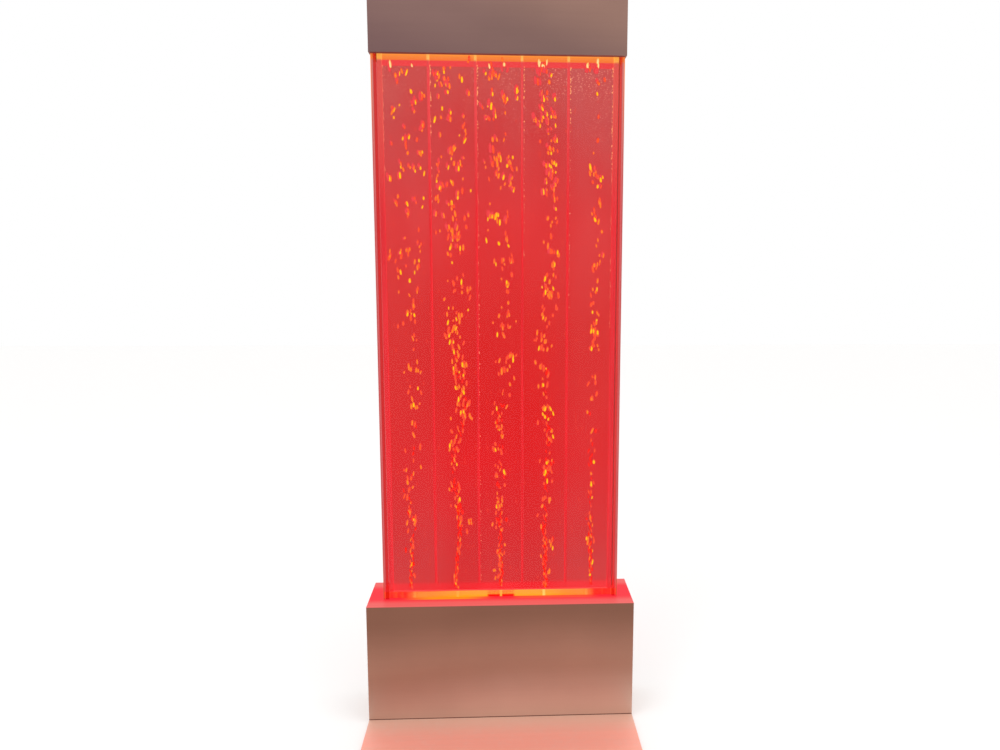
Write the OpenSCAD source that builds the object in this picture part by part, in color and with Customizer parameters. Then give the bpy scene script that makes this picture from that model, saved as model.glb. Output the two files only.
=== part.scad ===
// Floor-standing bubble wall: a flat water tank between a steel base box and a steel canopy.
// Millimetres, +Z up, origin at the middle of the footprint on the floor, viewer on the -Y side.

/* [Floor plate] */
// Depth of the floor plate
plate_d = 480; // [400:10:600]
// Thickness of the floor plate
plate_t = 4; // [3:1:8]
// Diameter of each rubber foot pad
pad_d = 40; // [30:2:60]
// Thickness of each rubber foot pad
pad_t = 3; // [2:1:6]
// Distance of a foot pad's middle from the plate's edges
pad_inset = 30; // [26:1:60]

/* [Base box] */
// Width of the base box, which the floor plate shares
base_w = 600; // [580:5:680]
// Width of the box's top beside each end of the tank
base_side = 33; // [22:1:36]
// Depth of the base box
base_d = 150; // [146:2:190]
// Height of the base box
base_h = 268; // [262:2:330]
// Thickness of the stainless sheet
sheet_t = 1.5; // [1:0.5:2]
// Width of the flange folded in at the foot of the box
foot_flange = 20; // [18:1:24]
// Distance from the tank's end to the end of the light window in the box's top
window_end = 52; // [50:1:57]
// Depth of the light window
window_d = 40; // [36:1:42]
// Side of the square tubes that carry the tank
frame_tube = 20; // [16:1:24]
// Wall of the square tubes
frame_wall = 1.5; // [1:0.5:2.5]
// Diameter of the screws that hold box and plate together
base_screw_d = 5; // [4:0.5:6]

/* [Service door] */
// Width of the box's back beside each side of the door opening
door_side = 85; // [83:1:105]
// Height of the door opening
door_h = 205; // [180:1:210]
// Height of the opening's lower edge above the plate
door_sill = 30; // [26:1:34]
// Gap between door and opening
door_gap = 2; // [1.5:0.5:3]
// Radius of a hinge barrel
barrel_r = 3.2; // [3:0.1:4]
// Radius of a hinge pin
hinge_pin_r = 1.5; // [1.2:0.1:2]
// Height of one hinge
hinge_h = 40; // [30:2:50]
// Length of one vent slot in the door
vent_l = 36; // [24:2:44]
// Height of one vent slot
vent_h = 4; // [3:0.5:6]

/* [Tank] */
// Height of the tank
tank_h = 1220; // [900:10:1600]
// Thickness of the front and rear sheets
wall_t = 8; // [6:1:10]
// Clear depth between the sheets
tank_gap = 44; // [42:1:50]
// Number of bubble chambers
chambers = 5; // [3:1:5]
// Thickness of a divider
divider_t = 5; // [3:1:8]
// Gap under the dividers that lets the chambers level out
divider_gap = 15; // [8:1:30]
// Thickness of the strip that seals each side
side_strip_t = 10; // [8:1:12]
// Thickness of the outer strip at each side
edge_strip_t = 5; // [4:1:6]
// Width of the cable channel between side strip and outer strip
channel_w = 7; // [6.5:0.5:9]
// Thickness of the bar that closes the tank below
bottom_bar_t = 15; // [12:1:20]
// Thickness of the bar that closes the tank above
top_bar_t = 12; // [8:1:14]
// Air space between the water and the top bar
air_space = 11; // [10:1:16]
// Radius of the filling hole
fill_r = 7; // [6:0.5:7.5]
// Height of the filling neck
neck_h = 15; // [12:1:20]

/* [Bubbles] */
// Large bubbles in one chamber
bubbles_per_chamber = 44; // [8:1:48]
// Radius of the smallest of them
bubble_r_min = 2.6; // [2:0.1:3]
// Radius of the largest of them
bubble_r_max = 4.8; // [4:0.1:5.6]

/* [Canopy] */
// How far the canopy reaches down over the tank
canopy_over = 30; // [20:2:60]
// Height of the canopy
canopy_h = 185; // [160:5:260]
// Depth of the canopy
canopy_d = 92; // [88:2:130]
// Gap between the canopy's sides and the tank
canopy_side_gap = 0.5; // [0.5:0.5:8]
// Gap between the canopy's lips and the tank's sheets
lip_gap = 2; // [1:0.5:4]
// Height of the soft blocks between the tank and the canopy's rest bars
rest_block_h = 15; // [14:1:20]

/* [Light] */
// Height of the light tray under the window
tray_h = 23.5; // [22:0.5:26]
// Thickness of the light window
lens_t = 3; // [2:0.5:4]
// LEDs on one board
leds_per_board = 12; // [4:1:14]
// Distance from the tank's end to the end of the light bar on top of it
top_light_end = 27; // [20:1:60]

/* [Air] */
// Side of the square air bar
air_bar_side = 16; // [14:1:18]
// Outer radius of the soft air tubes
tube_r = 4; // [3.6:0.2:4.6]
// Radius of the barbs that the tubes push on to
barb_r = 2.4; // [2:0.1:2.8]
// Radius of a valve knob
knob_r = 7.5; // [6:0.5:9]
// Length of the air pump
pump_l = 130; // [110:5:150]
// Width of the air pump
pump_w = 76; // [60:2:90]
// Height of the air pump's casing
pump_h = 58; // [50:2:70]

/* [Drain and power] */
// Height of the drain tap above the plate
tap_z = 53; // [45:1:70]
// Radius of the drain spout
spout_r = 6; // [5:0.5:7]
// Length of the drain spout
spout_l = 22; // [18:1:30]
// Height of the power inlet's middle above the plate
inlet_z = 143; // [110:1:170]

/* [Hidden] */
$fn = 48;

// How far a cut runs past the face that it opens
cut = 1;

// Widths that follow from the box
plate_w = base_w;
tank_w = base_w - 2 * base_side;
window_w = tank_w - 2 * window_end;
door_w = base_w - 2 * door_side;
top_light_l = tank_w - 2 * top_light_end;

// Heights that the pieces share
plate_top = pad_t + plate_t;
base_top = plate_top + base_h;
tank_top = base_top + tank_h;
canopy_low = tank_top - canopy_over;
canopy_top = canopy_low + canopy_h;
water_low = base_top + bottom_bar_t;
water_top = tank_top - top_bar_t - air_space;

// Tank plan: sheets front and rear, strips at the sides, chambers between dividers
tank_half = tank_w / 2;
gap_half = tank_gap / 2;
tank_d = tank_gap + 2 * wall_t;
inner_half = tank_half - edge_strip_t - channel_w - side_strip_t;
chamber_w = (2 * inner_half - (chambers - 1) * divider_t) / chambers;
chamber_pitch = chamber_w + divider_t;
channel_x = tank_half - edge_strip_t - channel_w / 2;
function chamber_x(i) = (i - (chambers - 1) / 2) * chamber_pitch;

// Canopy plan
canopy_half = tank_half + canopy_side_gap + sheet_t;
rest_bar_end = 77;
rest_bar_x = tank_half - rest_bar_end;
rest_bar_w = 20;
rest_bar_h = 15;

// Door plan: the hinge line stands behind the back face, at the door's right edge
back_y = base_d / 2;
door_low = plate_top + door_sill;
door_high = door_low + door_h;
leaf_t = 1.2;
leaf_w = 20;
hinge_x = door_w / 2 + 1;
hinge_y = back_y + leaf_t - 0.2 + barrel_r;
hinge_inset = 20;
hinge_fit = 0.05;
knuckle_h = 12;
knuckle_gap = 0.3;
function hinge_lows() = [door_low + hinge_inset, door_high - hinge_inset - hinge_h];

// Light tray between the rails
rail_y = gap_half + 2;
tray_half_w = window_w / 2 + 3;
tray_low = base_top - sheet_t - tray_h;
tray_wall = 1.5;
ledge_w = 3;
ledge_t = 2;
board_w = 10;
board_t = 1.6;
led_side = 5;
led_t = 1.6;

// Air way, from the nozzle in the tank's bottom bar down to the air bar
nozzle_r = 4;
nozzle_fit = 0.1;
nozzle_tip = 5;
nozzle_bore_r = 1;
flange_r = 8;
flange_t = 4;
washer_t = 2;
barb_l = 12;
valve_barb_l = 8;
valve_body_h = 20;
valve_body_r = 6;
barb_space = 6;
tube_fit = 0.05;
tube_end_gap = 0.3;
feed_bend = 20;
nozzle_low = tray_low;
check_top = nozzle_low - barb_l - barb_space - valve_barb_l;
check_low = check_top - valve_body_h;
air_bar_top = check_low - valve_barb_l - barb_space - 2 - barb_l;
air_bar_low = air_bar_top - air_bar_side;
air_bar_half = chamber_x(chambers - 1) + 13;
bar_bore_r = 1.5;
bracket_t = 3;
bracket_drop = 22;
bracket_foot = 12;
knob_l = 12;
flute_r = 1.4;
stem_r = 2;
stem_start = 4;
stem_out = 8;
stem_fit = 0.05;

// Tank bolts stand between the window and the side strips
bolt_out = 25;
bolt_x = window_w / 2 + bolt_out;
bolt_y = 12;
bolt_d = 5;
bolt_head_h = 5;
bolt_head_r = 4.25;
bolt_grip = 10;
bolt_socket_r = 2.3;
bolt_socket_deep = 2.5;
screw_clear = 0.5;
screw_fit = 0.1;

// Air pump on the floor plate
pump_inset = 190;
pump_x = -(base_w / 2 - pump_inset);
pump_wall = 3;
pump_step = 8;
pump_foot_h = 6;
pump_foot_r = 7;
pump_foot_inset = 14;
pump_split_h = 27;
pump_low = plate_top + pump_foot_h;
nipple_r = 3;
nipple_bore_r = 1.4;
nipple_l = 12;
nipple_rise = 22;
nipple_z = pump_low + nipple_rise;
pump_right = pump_x + pump_l / 2;

// Power supply and controller on the floor plate
supply_inset = 240;
supply_x = base_w / 2 - supply_inset;
supply_l = 110;
supply_w = 50;
supply_h = 35;
supply_tab_x = 10;
supply_tab_w = 16;
supply_tab_out = 8;
supply_tab_t = 2;
supply_slots = 9;
supply_slot_x = 14;
supply_slot_pitch = 10;
supply_slot_w = 4;
supply_slot_deep = 2;
supply_margin = 8;
unit_gap = 15;
controller_x = supply_x + supply_l + unit_gap;
controller_l = 60;
controller_w = 40;
controller_h = 20;
button_r = 4;
button_l = 4;
button_fit = 0.1;
button_inset = 15;
button_x = controller_x + button_inset;
button_z = plate_top + controller_h / 2;
button_sunk = 3;

// Power inlet in the back, right of the door
inlet_inset = 38;
inlet_x = base_w / 2 - inlet_inset;
inlet_mid = plate_top + inlet_z;
inlet_w = 27;
inlet_h = 56;
inlet_deep = 26;
bezel_t = 3;
bezel_over = 1.5;
inlet_fit = 0.2;
socket_w = 24;
socket_h = 16;
socket_deep = 17;
blade_side = 7;
blade_sunk = 3;
blade_half_t = 1;
blade_half_h = 2;
inlet_part = 14;
socket_z = inlet_mid - inlet_part;
rocker_z = inlet_mid + inlet_part;
rocker_w = 13;
rocker_h = 20;
rocker_tilt = 12;
rocker_deep = 15;
rocker_y = back_y + bezel_t - 3;
rocker_pin_r = 1.2;
rocker_pin_l = 1.2;
rocker_pin_fit = 0.05;
rocker_fit = 0.3;

// Drain, left of the door
drain_out = 14;
drain_x = -(window_w / 2 + drain_out);
tap_inset = 45;
tap_x = -(base_w / 2 - tap_inset);
tap_mid = plate_top + tap_z;
tap_r = 9;
tap_l = 30;
tap_nut_r = 12.7;
tap_nut_t = 5;
tap_lock_t = 6;
tap_tail_l = 18;
tap_wall_r = 8;
tap_wall_fit = 0.3;
tap_bore_r = 3.2;
lever_y = back_y + tap_nut_t + 14;
lever_l = 36;
lever_w = 8;
lever_t = 3;
lever_boss_r = 5.6;
lever_gap = 0.3;
tap_neck_h = 3;
spindle_r = 3;
spindle_fit = 0.05;
hose_r = 6;

// Leads and hose: radii, corner radii and the heights that their routes pass
lead_r = 2;
lead_bend = 10;
lead_hole_r = lead_r + 0.8;
lead_low = 6;
lead_rise = 60;
lead_to_channel = 95;
lead_to_tray = 120;
hose_bend = 24;
hose_drop = 50;
hose_rise = 60;
hose_y = 14;

// Box between two opposite corners
module span(low, high) {
    translate(low) cube(high - low);
}

// The same piece at both sides of the middle
module both_sides() {
    children();
    mirror([1, 0, 0]) children();
}

// The same piece in front and behind
module front_and_back() {
    children();
    mirror([0, 1, 0]) children();
}

// Cylinder whose axis runs along +X or +Y from its start
module rod_x(r, h) {
    rotate([0, 90, 0]) cylinder(r = r, h = h);
}

module rod_y(r, h) {
    rotate([-90, 0, 0]) cylinder(r = r, h = h);
}

// Square tube along X, centred on the X axis
module square_tube(length, side, wall) {
    difference() {
        span([-length / 2, -side / 2, -side / 2], [length / 2, side / 2, side / 2]);
        span([-length / 2 - cut, -side / 2 + wall, -side / 2 + wall],
            [length / 2 + cut, side / 2 - wall, side / 2 - wall]);
    }
}

// Route of a tube: the corners of a list of points are rounded, and rings follow the line
function unit(v) = v / norm(v);
function toward(from, to, far) = from + unit(to - from) * min(far, norm(to - from) * 0.49);
function curve(a, b, c, t) = a * (1 - t) * (1 - t) + b * 2 * t * (1 - t) + c * t * t;
function rounded_route(points, bend, steps) = [
    points[0],
    for (i = [1 : len(points) - 2])
        let (a = toward(points[i], points[i - 1], bend), c = toward(points[i], points[i + 1], bend))
            for (k = [0 : steps]) curve(a, points[i], c, k / steps),
    points[len(points) - 1]
];
function heading(route, i) =
    unit(route[min(i + 1, len(route) - 1)] - route[max(i - 1, 0)]);

// Solid tube of radius r along a route; aside is a direction that the route never runs in
module bent_tube(points, r, bend, aside, sides = 8, steps = 4) {
    route = rounded_route(points, bend, steps);
    count = len(route);
    rings = [for (i = [0 : count - 1])
        let (n = unit(cross(heading(route, i), aside)), b = cross(heading(route, i), n))
            for (k = [0 : sides - 1])
                route[i] + n * r * cos(360 * k / sides) + b * r * sin(360 * k / sides)];
    skin = [for (i = [0 : count - 2]) for (k = [0 : sides - 1])
        let (a = i * sides + k, b = i * sides + (k + 1) % sides)
            for (f = [[a, a + sides, b + sides], [a, b + sides, b]]) f];
    start_cap = [for (k = [1 : sides - 2]) [0, k, k + 1]];
    last = (count - 1) * sides;
    end_cap = [for (k = [1 : sides - 2]) [last, last + k + 1, last + k]];
    polyhedron(points = rings, faces = concat(skin, start_cap, end_cap));
}

// Rubber pads under the floor plate
module foot_pads() {
    color("#2b2b2b")
        for (x = [-1, 0, 1]) for (y = [-1, 1])
            translate([x * (plate_w / 2 - pad_inset), y * (plate_d / 2 - pad_inset), 0])
                cylinder(d = pad_d, h = pad_t);
}

// Places of the screws through the foot flange
screw_inset = 84;
flange_mid = foot_flange / 2 + sheet_t / 2;
function base_screw_places() = concat(
    [for (x = [-1, 0, 1]) for (y = [-1, 1]) [x * (base_w / 2 - screw_inset), y * (base_d / 2 - flange_mid)]],
    [for (x = [-1, 1]) [x * (base_w / 2 - flange_mid), 0]]
);

module floor_plate() {
    color("#d99a86") difference() {
        span([-plate_w / 2, -plate_d / 2, pad_t], [plate_w / 2, plate_d / 2, plate_top]);
        for (p = base_screw_places())
            translate([p[0], p[1], pad_t - cut])
                cylinder(d = base_screw_d + screw_fit, h = plate_t + 2 * cut);
    }
}

// Folded box with an open foot, a door opening behind and a light window on top
drain_hole_r = nozzle_r + 1;
module base_shell() {
    through = sheet_t + cut;
    color("#9a6c5c") difference() {
        span([-base_w / 2, -base_d / 2, plate_top], [base_w / 2, base_d / 2, base_top]);
        span([-base_w / 2 + sheet_t, -base_d / 2 + sheet_t, plate_top + sheet_t],
            [base_w / 2 - sheet_t, base_d / 2 - sheet_t, base_top - sheet_t]);
        span([-base_w / 2 + foot_flange, -base_d / 2 + foot_flange, plate_top - cut],
            [base_w / 2 - foot_flange, base_d / 2 - foot_flange, plate_top + sheet_t + cut]);
        span([-door_w / 2, back_y - through, door_low], [door_w / 2, back_y + cut, door_high]);
        span([-window_w / 2, -window_d / 2, base_top - through],
            [window_w / 2, window_d / 2, base_top + cut]);
        for (x = [-1, 1]) for (y = [-1, 1])
            translate([x * bolt_x, y * bolt_y, base_top - through])
                cylinder(d = bolt_d + screw_clear, h = through + cut);
        for (p = base_screw_places())
            translate([p[0], p[1], plate_top - cut])
                cylinder(d = base_screw_d + screw_clear, h = through + cut);
        translate([channel_x, 0, base_top - through]) cylinder(r = lead_hole_r, h = through + cut);
        translate([drain_x, 0, base_top - through]) cylinder(r = drain_hole_r, h = through + cut);
        translate([tap_x, back_y - through, tap_mid]) rod_y(tap_wall_r + tap_wall_fit, through + cut);
        span([inlet_x - inlet_w / 2 - inlet_fit, back_y - through, inlet_mid - inlet_h / 2 - inlet_fit],
            [inlet_x + inlet_w / 2 + inlet_fit, back_y + cut, inlet_mid + inlet_h / 2 + inlet_fit]);
    }
}

// Pan head screw that stands on a face, its shank going down
module pan_screw(d, length) {
    cylinder(d = d * 1.9, h = d * 0.6);
    translate([0, 0, -length]) cylinder(d = d, h = length);
}

module base_screws() {
    color("#b9b4ae")
        for (p = base_screw_places())
            translate([p[0], p[1], plate_top + sheet_t]) pan_screw(base_screw_d, plate_t + sheet_t - 0.5);
}

// Two square tubes right under the tank's front and rear sheets
module frame_rails() {
    color("#8d9094") front_and_back()
        translate([0, rail_y + frame_tube / 2, base_top - sheet_t - frame_tube / 2])
            square_tube(base_w - 2 * sheet_t, frame_tube, frame_wall);
}

// Four legs that carry the rails and stand on the foot flange
module frame_legs() {
    leg_high = base_top - sheet_t - frame_tube;
    leg_low = plate_top + sheet_t;
    color("#8d9094") both_sides() front_and_back()
        translate([base_w / 2 - sheet_t - frame_tube / 2, rail_y + frame_tube / 2,
            (leg_high + leg_low) / 2])
            rotate([0, 90, 0]) square_tube(leg_high - leg_low, frame_tube, frame_wall);
}

// Hinge leaf with its barrels; side is 1 for the leaf on the box and -1 for the one on the door
module hinge_leaf(side, barrels) {
    plate_start = barrel_r + 0.3;
    difference() {
        union() {
            span([min(side * plate_start, side * leaf_w), back_y, 0],
                [max(side * plate_start, side * leaf_w), back_y + leaf_t, hinge_h]);
            for (b = barrels) {
                translate([0, hinge_y, b[0]]) cylinder(r = barrel_r, h = b[1] - b[0]);
                span([min(0, side * (plate_start + 1)), back_y, b[0]],
                    [max(0, side * (plate_start + 1)), back_y + leaf_t, b[1]]);
            }
        }
        translate([0, hinge_y, -cut]) cylinder(r = hinge_pin_r + hinge_fit, h = hinge_h + 2 * cut);
    }
}

module hinge_shell_leaves() {
    color("#b9b4ae") for (low = hinge_lows())
        translate([hinge_x, 0, low])
            hinge_leaf(1, [[0, knuckle_h], [hinge_h - knuckle_h, hinge_h]]);
}

module door_hinge_leaves() {
    color("#b9b4ae") for (low = hinge_lows())
        translate([hinge_x, 0, low])
            hinge_leaf(-1, [[knuckle_h + knuckle_gap, hinge_h - knuckle_h - knuckle_gap]]);
}

module hinge_pins() {
    color("#8d9094") for (low = hinge_lows())
        translate([hinge_x, hinge_y, low]) {
            cylinder(r = hinge_pin_r, h = hinge_h);
            translate([0, 0, hinge_h]) cylinder(r = hinge_pin_r + 1, h = 1);
        }
}

// Flat door with vent slots: one row low, three rows high
vent_space = 16;
vent_edge = 40;
vent_low_z = 22;
vent_high_z = 34;
vent_row_pitch = 10;
module service_door() {
    pitch = vent_l + vent_space;
    vents = floor((door_w - 2 * vent_edge) / pitch);
    rows = concat([door_low + vent_low_z], [for (k = [0 : 2]) door_high - vent_high_z - k * vent_row_pitch]);
    color("#9a6c5c") difference() {
        span([-door_w / 2 + door_gap, back_y - sheet_t, door_low + door_gap],
            [door_w / 2 - door_gap, back_y, door_high - door_gap]);
        for (i = [0 : vents - 1]) for (z = rows)
            translate([(i - (vents - 1) / 2) * pitch - vent_l / 2, back_y - sheet_t - cut, z])
                cube([vent_l, sheet_t + 2 * cut, vent_h]);
    }
}

pull_x = -(door_w / 2 - 32);
pull_z = (door_low + door_high) / 2;
pull_stem_r = 5;
pull_stem_l = 10;
pull_r = 10;
pull_t = 8;
module door_pull() {
    color("#b9b4ae") translate([pull_x, back_y, pull_z]) {
        rod_y(pull_stem_r, pull_stem_l + 1);
        translate([0, pull_stem_l, 0]) rod_y(pull_r, pull_t);
    }
}

strike_l = 22;
strike_t = 1.5;
strike_half_h = 10;
module door_strike() {
    color("#8d9094")
        span([-door_w / 2 + door_gap + 1, back_y - sheet_t - strike_t, pull_z - strike_half_h],
            [-door_w / 2 + door_gap + 1 + strike_l, back_y - sheet_t, pull_z + strike_half_h]);
}

// Magnet block behind the door's free edge
magnet_foot = 20;
magnet_t = 12;
magnet_gap = 0.3;
module door_magnet() {
    face_y = back_y - sheet_t - strike_t - magnet_gap;
    color("#3a3a3c") {
        span([-door_w / 2 - magnet_foot, face_y - magnet_t, pull_z - strike_half_h],
            [-door_w / 2 - 1, back_y - sheet_t, pull_z + strike_half_h]);
        span([-door_w / 2 - 1, face_y - magnet_t, pull_z - strike_half_h],
            [-door_w / 2 + strike_l, face_y, pull_z + strike_half_h]);
    }
}

// Folded aluminium tray with an inner ledge for the light window
module light_tray() {
    half = rail_y;
    high = base_top - sheet_t;
    wall = tray_wall;
    ledge = high - lens_t;
    lip = wall + ledge_w;
    color("#c9ccd0") difference() {
        translate([-tray_half_w, 0, 0]) rotate([90, 0, 90]) linear_extrude(2 * tray_half_w)
            polygon([[-half, tray_low], [half, tray_low], [half, high], [half - wall, high],
                [half - wall, ledge], [half - lip, ledge], [half - lip, ledge - ledge_t],
                [half - wall, ledge - ledge_t], [half - wall, tray_low + wall],
                [-half + wall, tray_low + wall], [-half + wall, ledge - ledge_t],
                [-half + lip, ledge - ledge_t], [-half + lip, ledge], [-half + wall, ledge],
                [-half + wall, high], [-half, high]]);
        for (i = [0 : chambers - 1])
            translate([chamber_x(i), 0, tray_low - cut])
                cylinder(r = nozzle_r + 0.5, h = tray_wall + 2 * cut);
    }
}

// Four light boards on the tray's floor, clear of the nozzles
board_start = 6;
board_l = tray_half_w - 2 * board_start;
board_y = 12.5;
module light_boards() {
    pitch = board_l / leds_per_board;
    low = tray_low + tray_wall;
    color("#f0f0ea") both_sides() front_and_back() {
        span([board_start, board_y - board_w / 2, low],
            [board_start + board_l, board_y + board_w / 2, low + board_t]);
        for (i = [0 : leds_per_board - 1])
            translate([board_start + pitch * (i + 0.5) - led_side / 2, board_y - led_side / 2, low + board_t])
                cube([led_side, led_side, led_t]);
    }
}

// Opal window over the light tray, with a hole for each nozzle
module light_window() {
    half = rail_y - tray_wall - 0.1;
    high = base_top - sheet_t;
    color("#ff9a2a") difference() {
        span([-tray_half_w, -half, high - lens_t], [tray_half_w, half, high]);
        for (i = [0 : chambers - 1])
            translate([chamber_x(i), 0, high - lens_t - cut])
                cylinder(r = flange_r + 1.5, h = lens_t + 2 * cut);
    }
}

// Flat strip over the middle joint of the light boards
joiner_half_l = 31;
joiner_w = 9;
module window_joiner() {
    color("#e01010")
        span([-joiner_half_l, -window_d / 2, base_top - sheet_t],
            [joiner_half_l, -window_d / 2 + joiner_w, base_top]);
}

// Bar that closes the tank below, bored for the nozzles, the drain, the bolts and the lead
module tank_bottom_bar() {
    through = bottom_bar_t + 2 * cut;
    color("#e0484a") difference() {
        span([-tank_half, -gap_half, base_top], [tank_half, gap_half, water_low]);
        for (i = [0 : chambers - 1])
            translate([chamber_x(i), 0, base_top - cut]) cylinder(r = nozzle_r + nozzle_fit, h = through);
        translate([drain_x, 0, base_top - cut]) cylinder(r = nozzle_r + nozzle_fit, h = through);
        for (x = [-1, 1]) for (y = [-1, 1])
            translate([x * bolt_x, y * bolt_y, base_top - cut])
                cylinder(d = bolt_d + screw_fit, h = bolt_grip + 1.5 + cut);
        translate([channel_x, 0, base_top - cut]) cylinder(r = lead_hole_r, h = through);
    }
}

module tank_front_sheet() {
    color("#d93a3c")
        span([-tank_half, -gap_half - wall_t, base_top], [tank_half, -gap_half, tank_top]);
}

module tank_rear_sheet() {
    color("#c93234")
        span([-tank_half, gap_half, base_top], [tank_half, gap_half + wall_t, tank_top]);
}

// Strips that seal the outer chambers
module tank_side_strips() {
    color("#f02a34") both_sides()
        span([inner_half, -gap_half, water_low],
            [inner_half + side_strip_t, gap_half, tank_top - top_bar_t]);
}

// Outer strips that close the cable channels
module tank_edge_strips() {
    color("#b8383a") both_sides()
        span([tank_half - edge_strip_t, -gap_half, water_low],
            [tank_half, gap_half, tank_top - top_bar_t]);
}

divider_low = water_low + divider_gap;
divider_high = water_top - 4;
module tank_dividers() {
    color("#f02a34")
        for (i = [0 : chambers - 2])
            translate([chamber_x(i) + chamber_pitch / 2, 0, 0])
                span([-divider_t / 2, -gap_half, divider_low], [divider_t / 2, gap_half, divider_high]);
}

// Bar that closes the tank above: filling hole over the middle chamber, vents over the others
fill_y = -10.5;
vent_r = 2.5;
fill_chamber = floor((chambers - 1) / 2);
fill_x = chamber_x(fill_chamber);
module tank_top_bar() {
    low = tank_top - top_bar_t - cut;
    through = top_bar_t + 2 * cut;
    color("#e0484a") difference() {
        span([-tank_half, -gap_half, tank_top - top_bar_t], [tank_half, gap_half, tank_top]);
        translate([fill_x, fill_y, low]) cylinder(r = fill_r, h = through);
        for (i = [0 : chambers - 1])
            if (i != fill_chamber)
                translate([chamber_x(i), fill_y, low]) cylinder(r = vent_r, h = through);
        translate([channel_x, 0, low]) cylinder(r = lead_hole_r, h = through);
    }
}

neck_wall = 2;
module fill_neck() {
    color("#f4f4f0") translate([fill_x, fill_y, tank_top]) difference() {
        cylinder(r = fill_r + neck_wall, h = neck_h);
        translate([0, 0, -cut]) cylinder(r = fill_r, h = neck_h + 2 * cut);
    }
}

// Push-on cap over the neck
cap_fit = 0.3;
cap_low = 1.5;
cap_wall = 2;
cap_top_t = 4;
cap_grip_r = 5;
cap_grip_h = 8;
module fill_cap() {
    cap_r = fill_r + neck_wall + cap_fit + cap_wall;
    color("#2b2b2b") translate([fill_x, fill_y, tank_top]) difference() {
        union() {
            translate([0, 0, cap_low]) cylinder(r = cap_r, h = neck_h - cap_low + cap_fit + cap_top_t);
            translate([0, 0, neck_h + cap_fit + cap_top_t]) cylinder(r = cap_grip_r, h = cap_grip_h);
        }
        translate([0, 0, cap_low - cut])
            cylinder(r = fill_r + neck_wall + cap_fit, h = neck_h - cap_low + cut + cap_fit);
    }
}

// Socket head bolts from under the base box into the bottom bar
module tank_bolts() {
    color("#b9b4ae") both_sides() front_and_back()
        translate([bolt_x, bolt_y, base_top - sheet_t]) {
            cylinder(d = bolt_d, h = sheet_t + bolt_grip);
            translate([0, 0, -bolt_head_h]) difference() {
                cylinder(r = bolt_head_r, h = bolt_head_h);
                translate([0, 0, -cut]) cylinder(r = bolt_socket_r, h = bolt_socket_deep + cut, $fn = 6);
            }
        }
}

// Brass fitting through the bottom bar; tip is how far it stands up into the water
module bar_fitting(tip, tail_r, tail_l) {
    translate([0, 0, base_top - washer_t - flange_t]) cylinder(r = flange_r, h = flange_t, $fn = 6);
    translate([0, 0, nozzle_low]) cylinder(r = nozzle_r, h = water_low + tip - nozzle_low);
    translate([0, 0, nozzle_low - tail_l]) cylinder(r = tail_r, h = tail_l);
}

module air_nozzles() {
    color("#c9a24a") for (i = [0 : chambers - 1])
        translate([chamber_x(i), 0, 0]) difference() {
            bar_fitting(nozzle_tip, barb_r, barb_l);
            translate([0, 0, nozzle_low - barb_l - cut])
                cylinder(r = nozzle_bore_r, h = water_low + nozzle_tip - nozzle_low + barb_l + 2 * cut);
        }
}

module nozzle_washers() {
    color("#3a3a3c") for (i = [0 : chambers - 1])
        translate([chamber_x(i), 0, base_top - washer_t]) difference() {
            cylinder(r = flange_r - 1.2, h = washer_t);
            translate([0, 0, -cut]) cylinder(r = nozzle_r + nozzle_fit, h = washer_t + 2 * cut);
        }
}

// Each chamber's column, from left to right: how far it drifts aside and spreads on its way up
column_drift = [0.05, 0.05, 0.12, 0.25, 0.4];
column_spread = [0.74, 0.74, 0.68, 0.4, 0.25];
column_foot = 0.1;
column_sway = 0.12;
// How far a bubble's middle lies behind the sheet that it touches, as a share of its radius
bubble_sunk = 0.3;
// Share of the bubbles that touch the front sheet; the others touch the rear one
bubble_front = 0.6;
bubble_low = water_low + 22;
bubble_high = water_top - 12;

// Height, radius, side shift and depth of bubble i in chamber c, from a hash that repeats
function hash(i, c, k) =
    let (s = sin(i * 97.13 + c * 41.7 + k * 151.9) * 43758.5453) s - floor(s);
function bubble_rise(i, c) = (i + 0.5 + (hash(i, c, 1) - 0.5) * 0.45) / bubbles_per_chamber;
function bubble_r(i, c) = bubble_r_min + (bubble_r_max - bubble_r_min) * hash(i, c, 2);
function bubble_x(i, c) =
    let (rise = bubble_rise(i, c), room = chamber_w / 2 - bubble_r_max - 2,
        spread = column_foot + (column_spread[c] - column_foot) * pow(rise, 0.8),
        sway = column_sway * sin(rise * 1500 + c * 120))
        room * (column_drift[c] * sqrt(rise) + spread * (2 * hash(i, c, 3) - 1) + sway);
function bubble_y(i, c) =
    (hash(i, c, 4) < bubble_front ? -1 : 1) * (gap_half - bubble_sunk * bubble_r(i, c));

// Water in all chambers, joined under the dividers; its large bubbles are hollows open to the sheets
module water_fill() {
    color("#e8403c")
        difference() {
            span([-inner_half, -gap_half, water_low], [inner_half, gap_half, water_top]);
            for (i = [0 : chambers - 2])
                translate([chamber_x(i) + chamber_pitch / 2, 0, 0])
                    span([-divider_t / 2, -gap_half - cut, divider_low],
                        [divider_t / 2, gap_half + cut, divider_high]);
            for (c = [0 : chambers - 1])
                translate([chamber_x(c), 0, water_low - cut])
                    cylinder(r = nozzle_r + 0.05, h = nozzle_tip + cut + 0.1);
            for (c = [0 : chambers - 1]) for (i = [0 : bubbles_per_chamber - 1])
                translate([chamber_x(c) + bubble_x(i, c), bubble_y(i, c),
                    bubble_low + (bubble_high - bubble_low) * bubble_rise(i, c)])
                    rotate([90, 0, 0]) sphere(r = bubble_r(i, c));
        }
}

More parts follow.
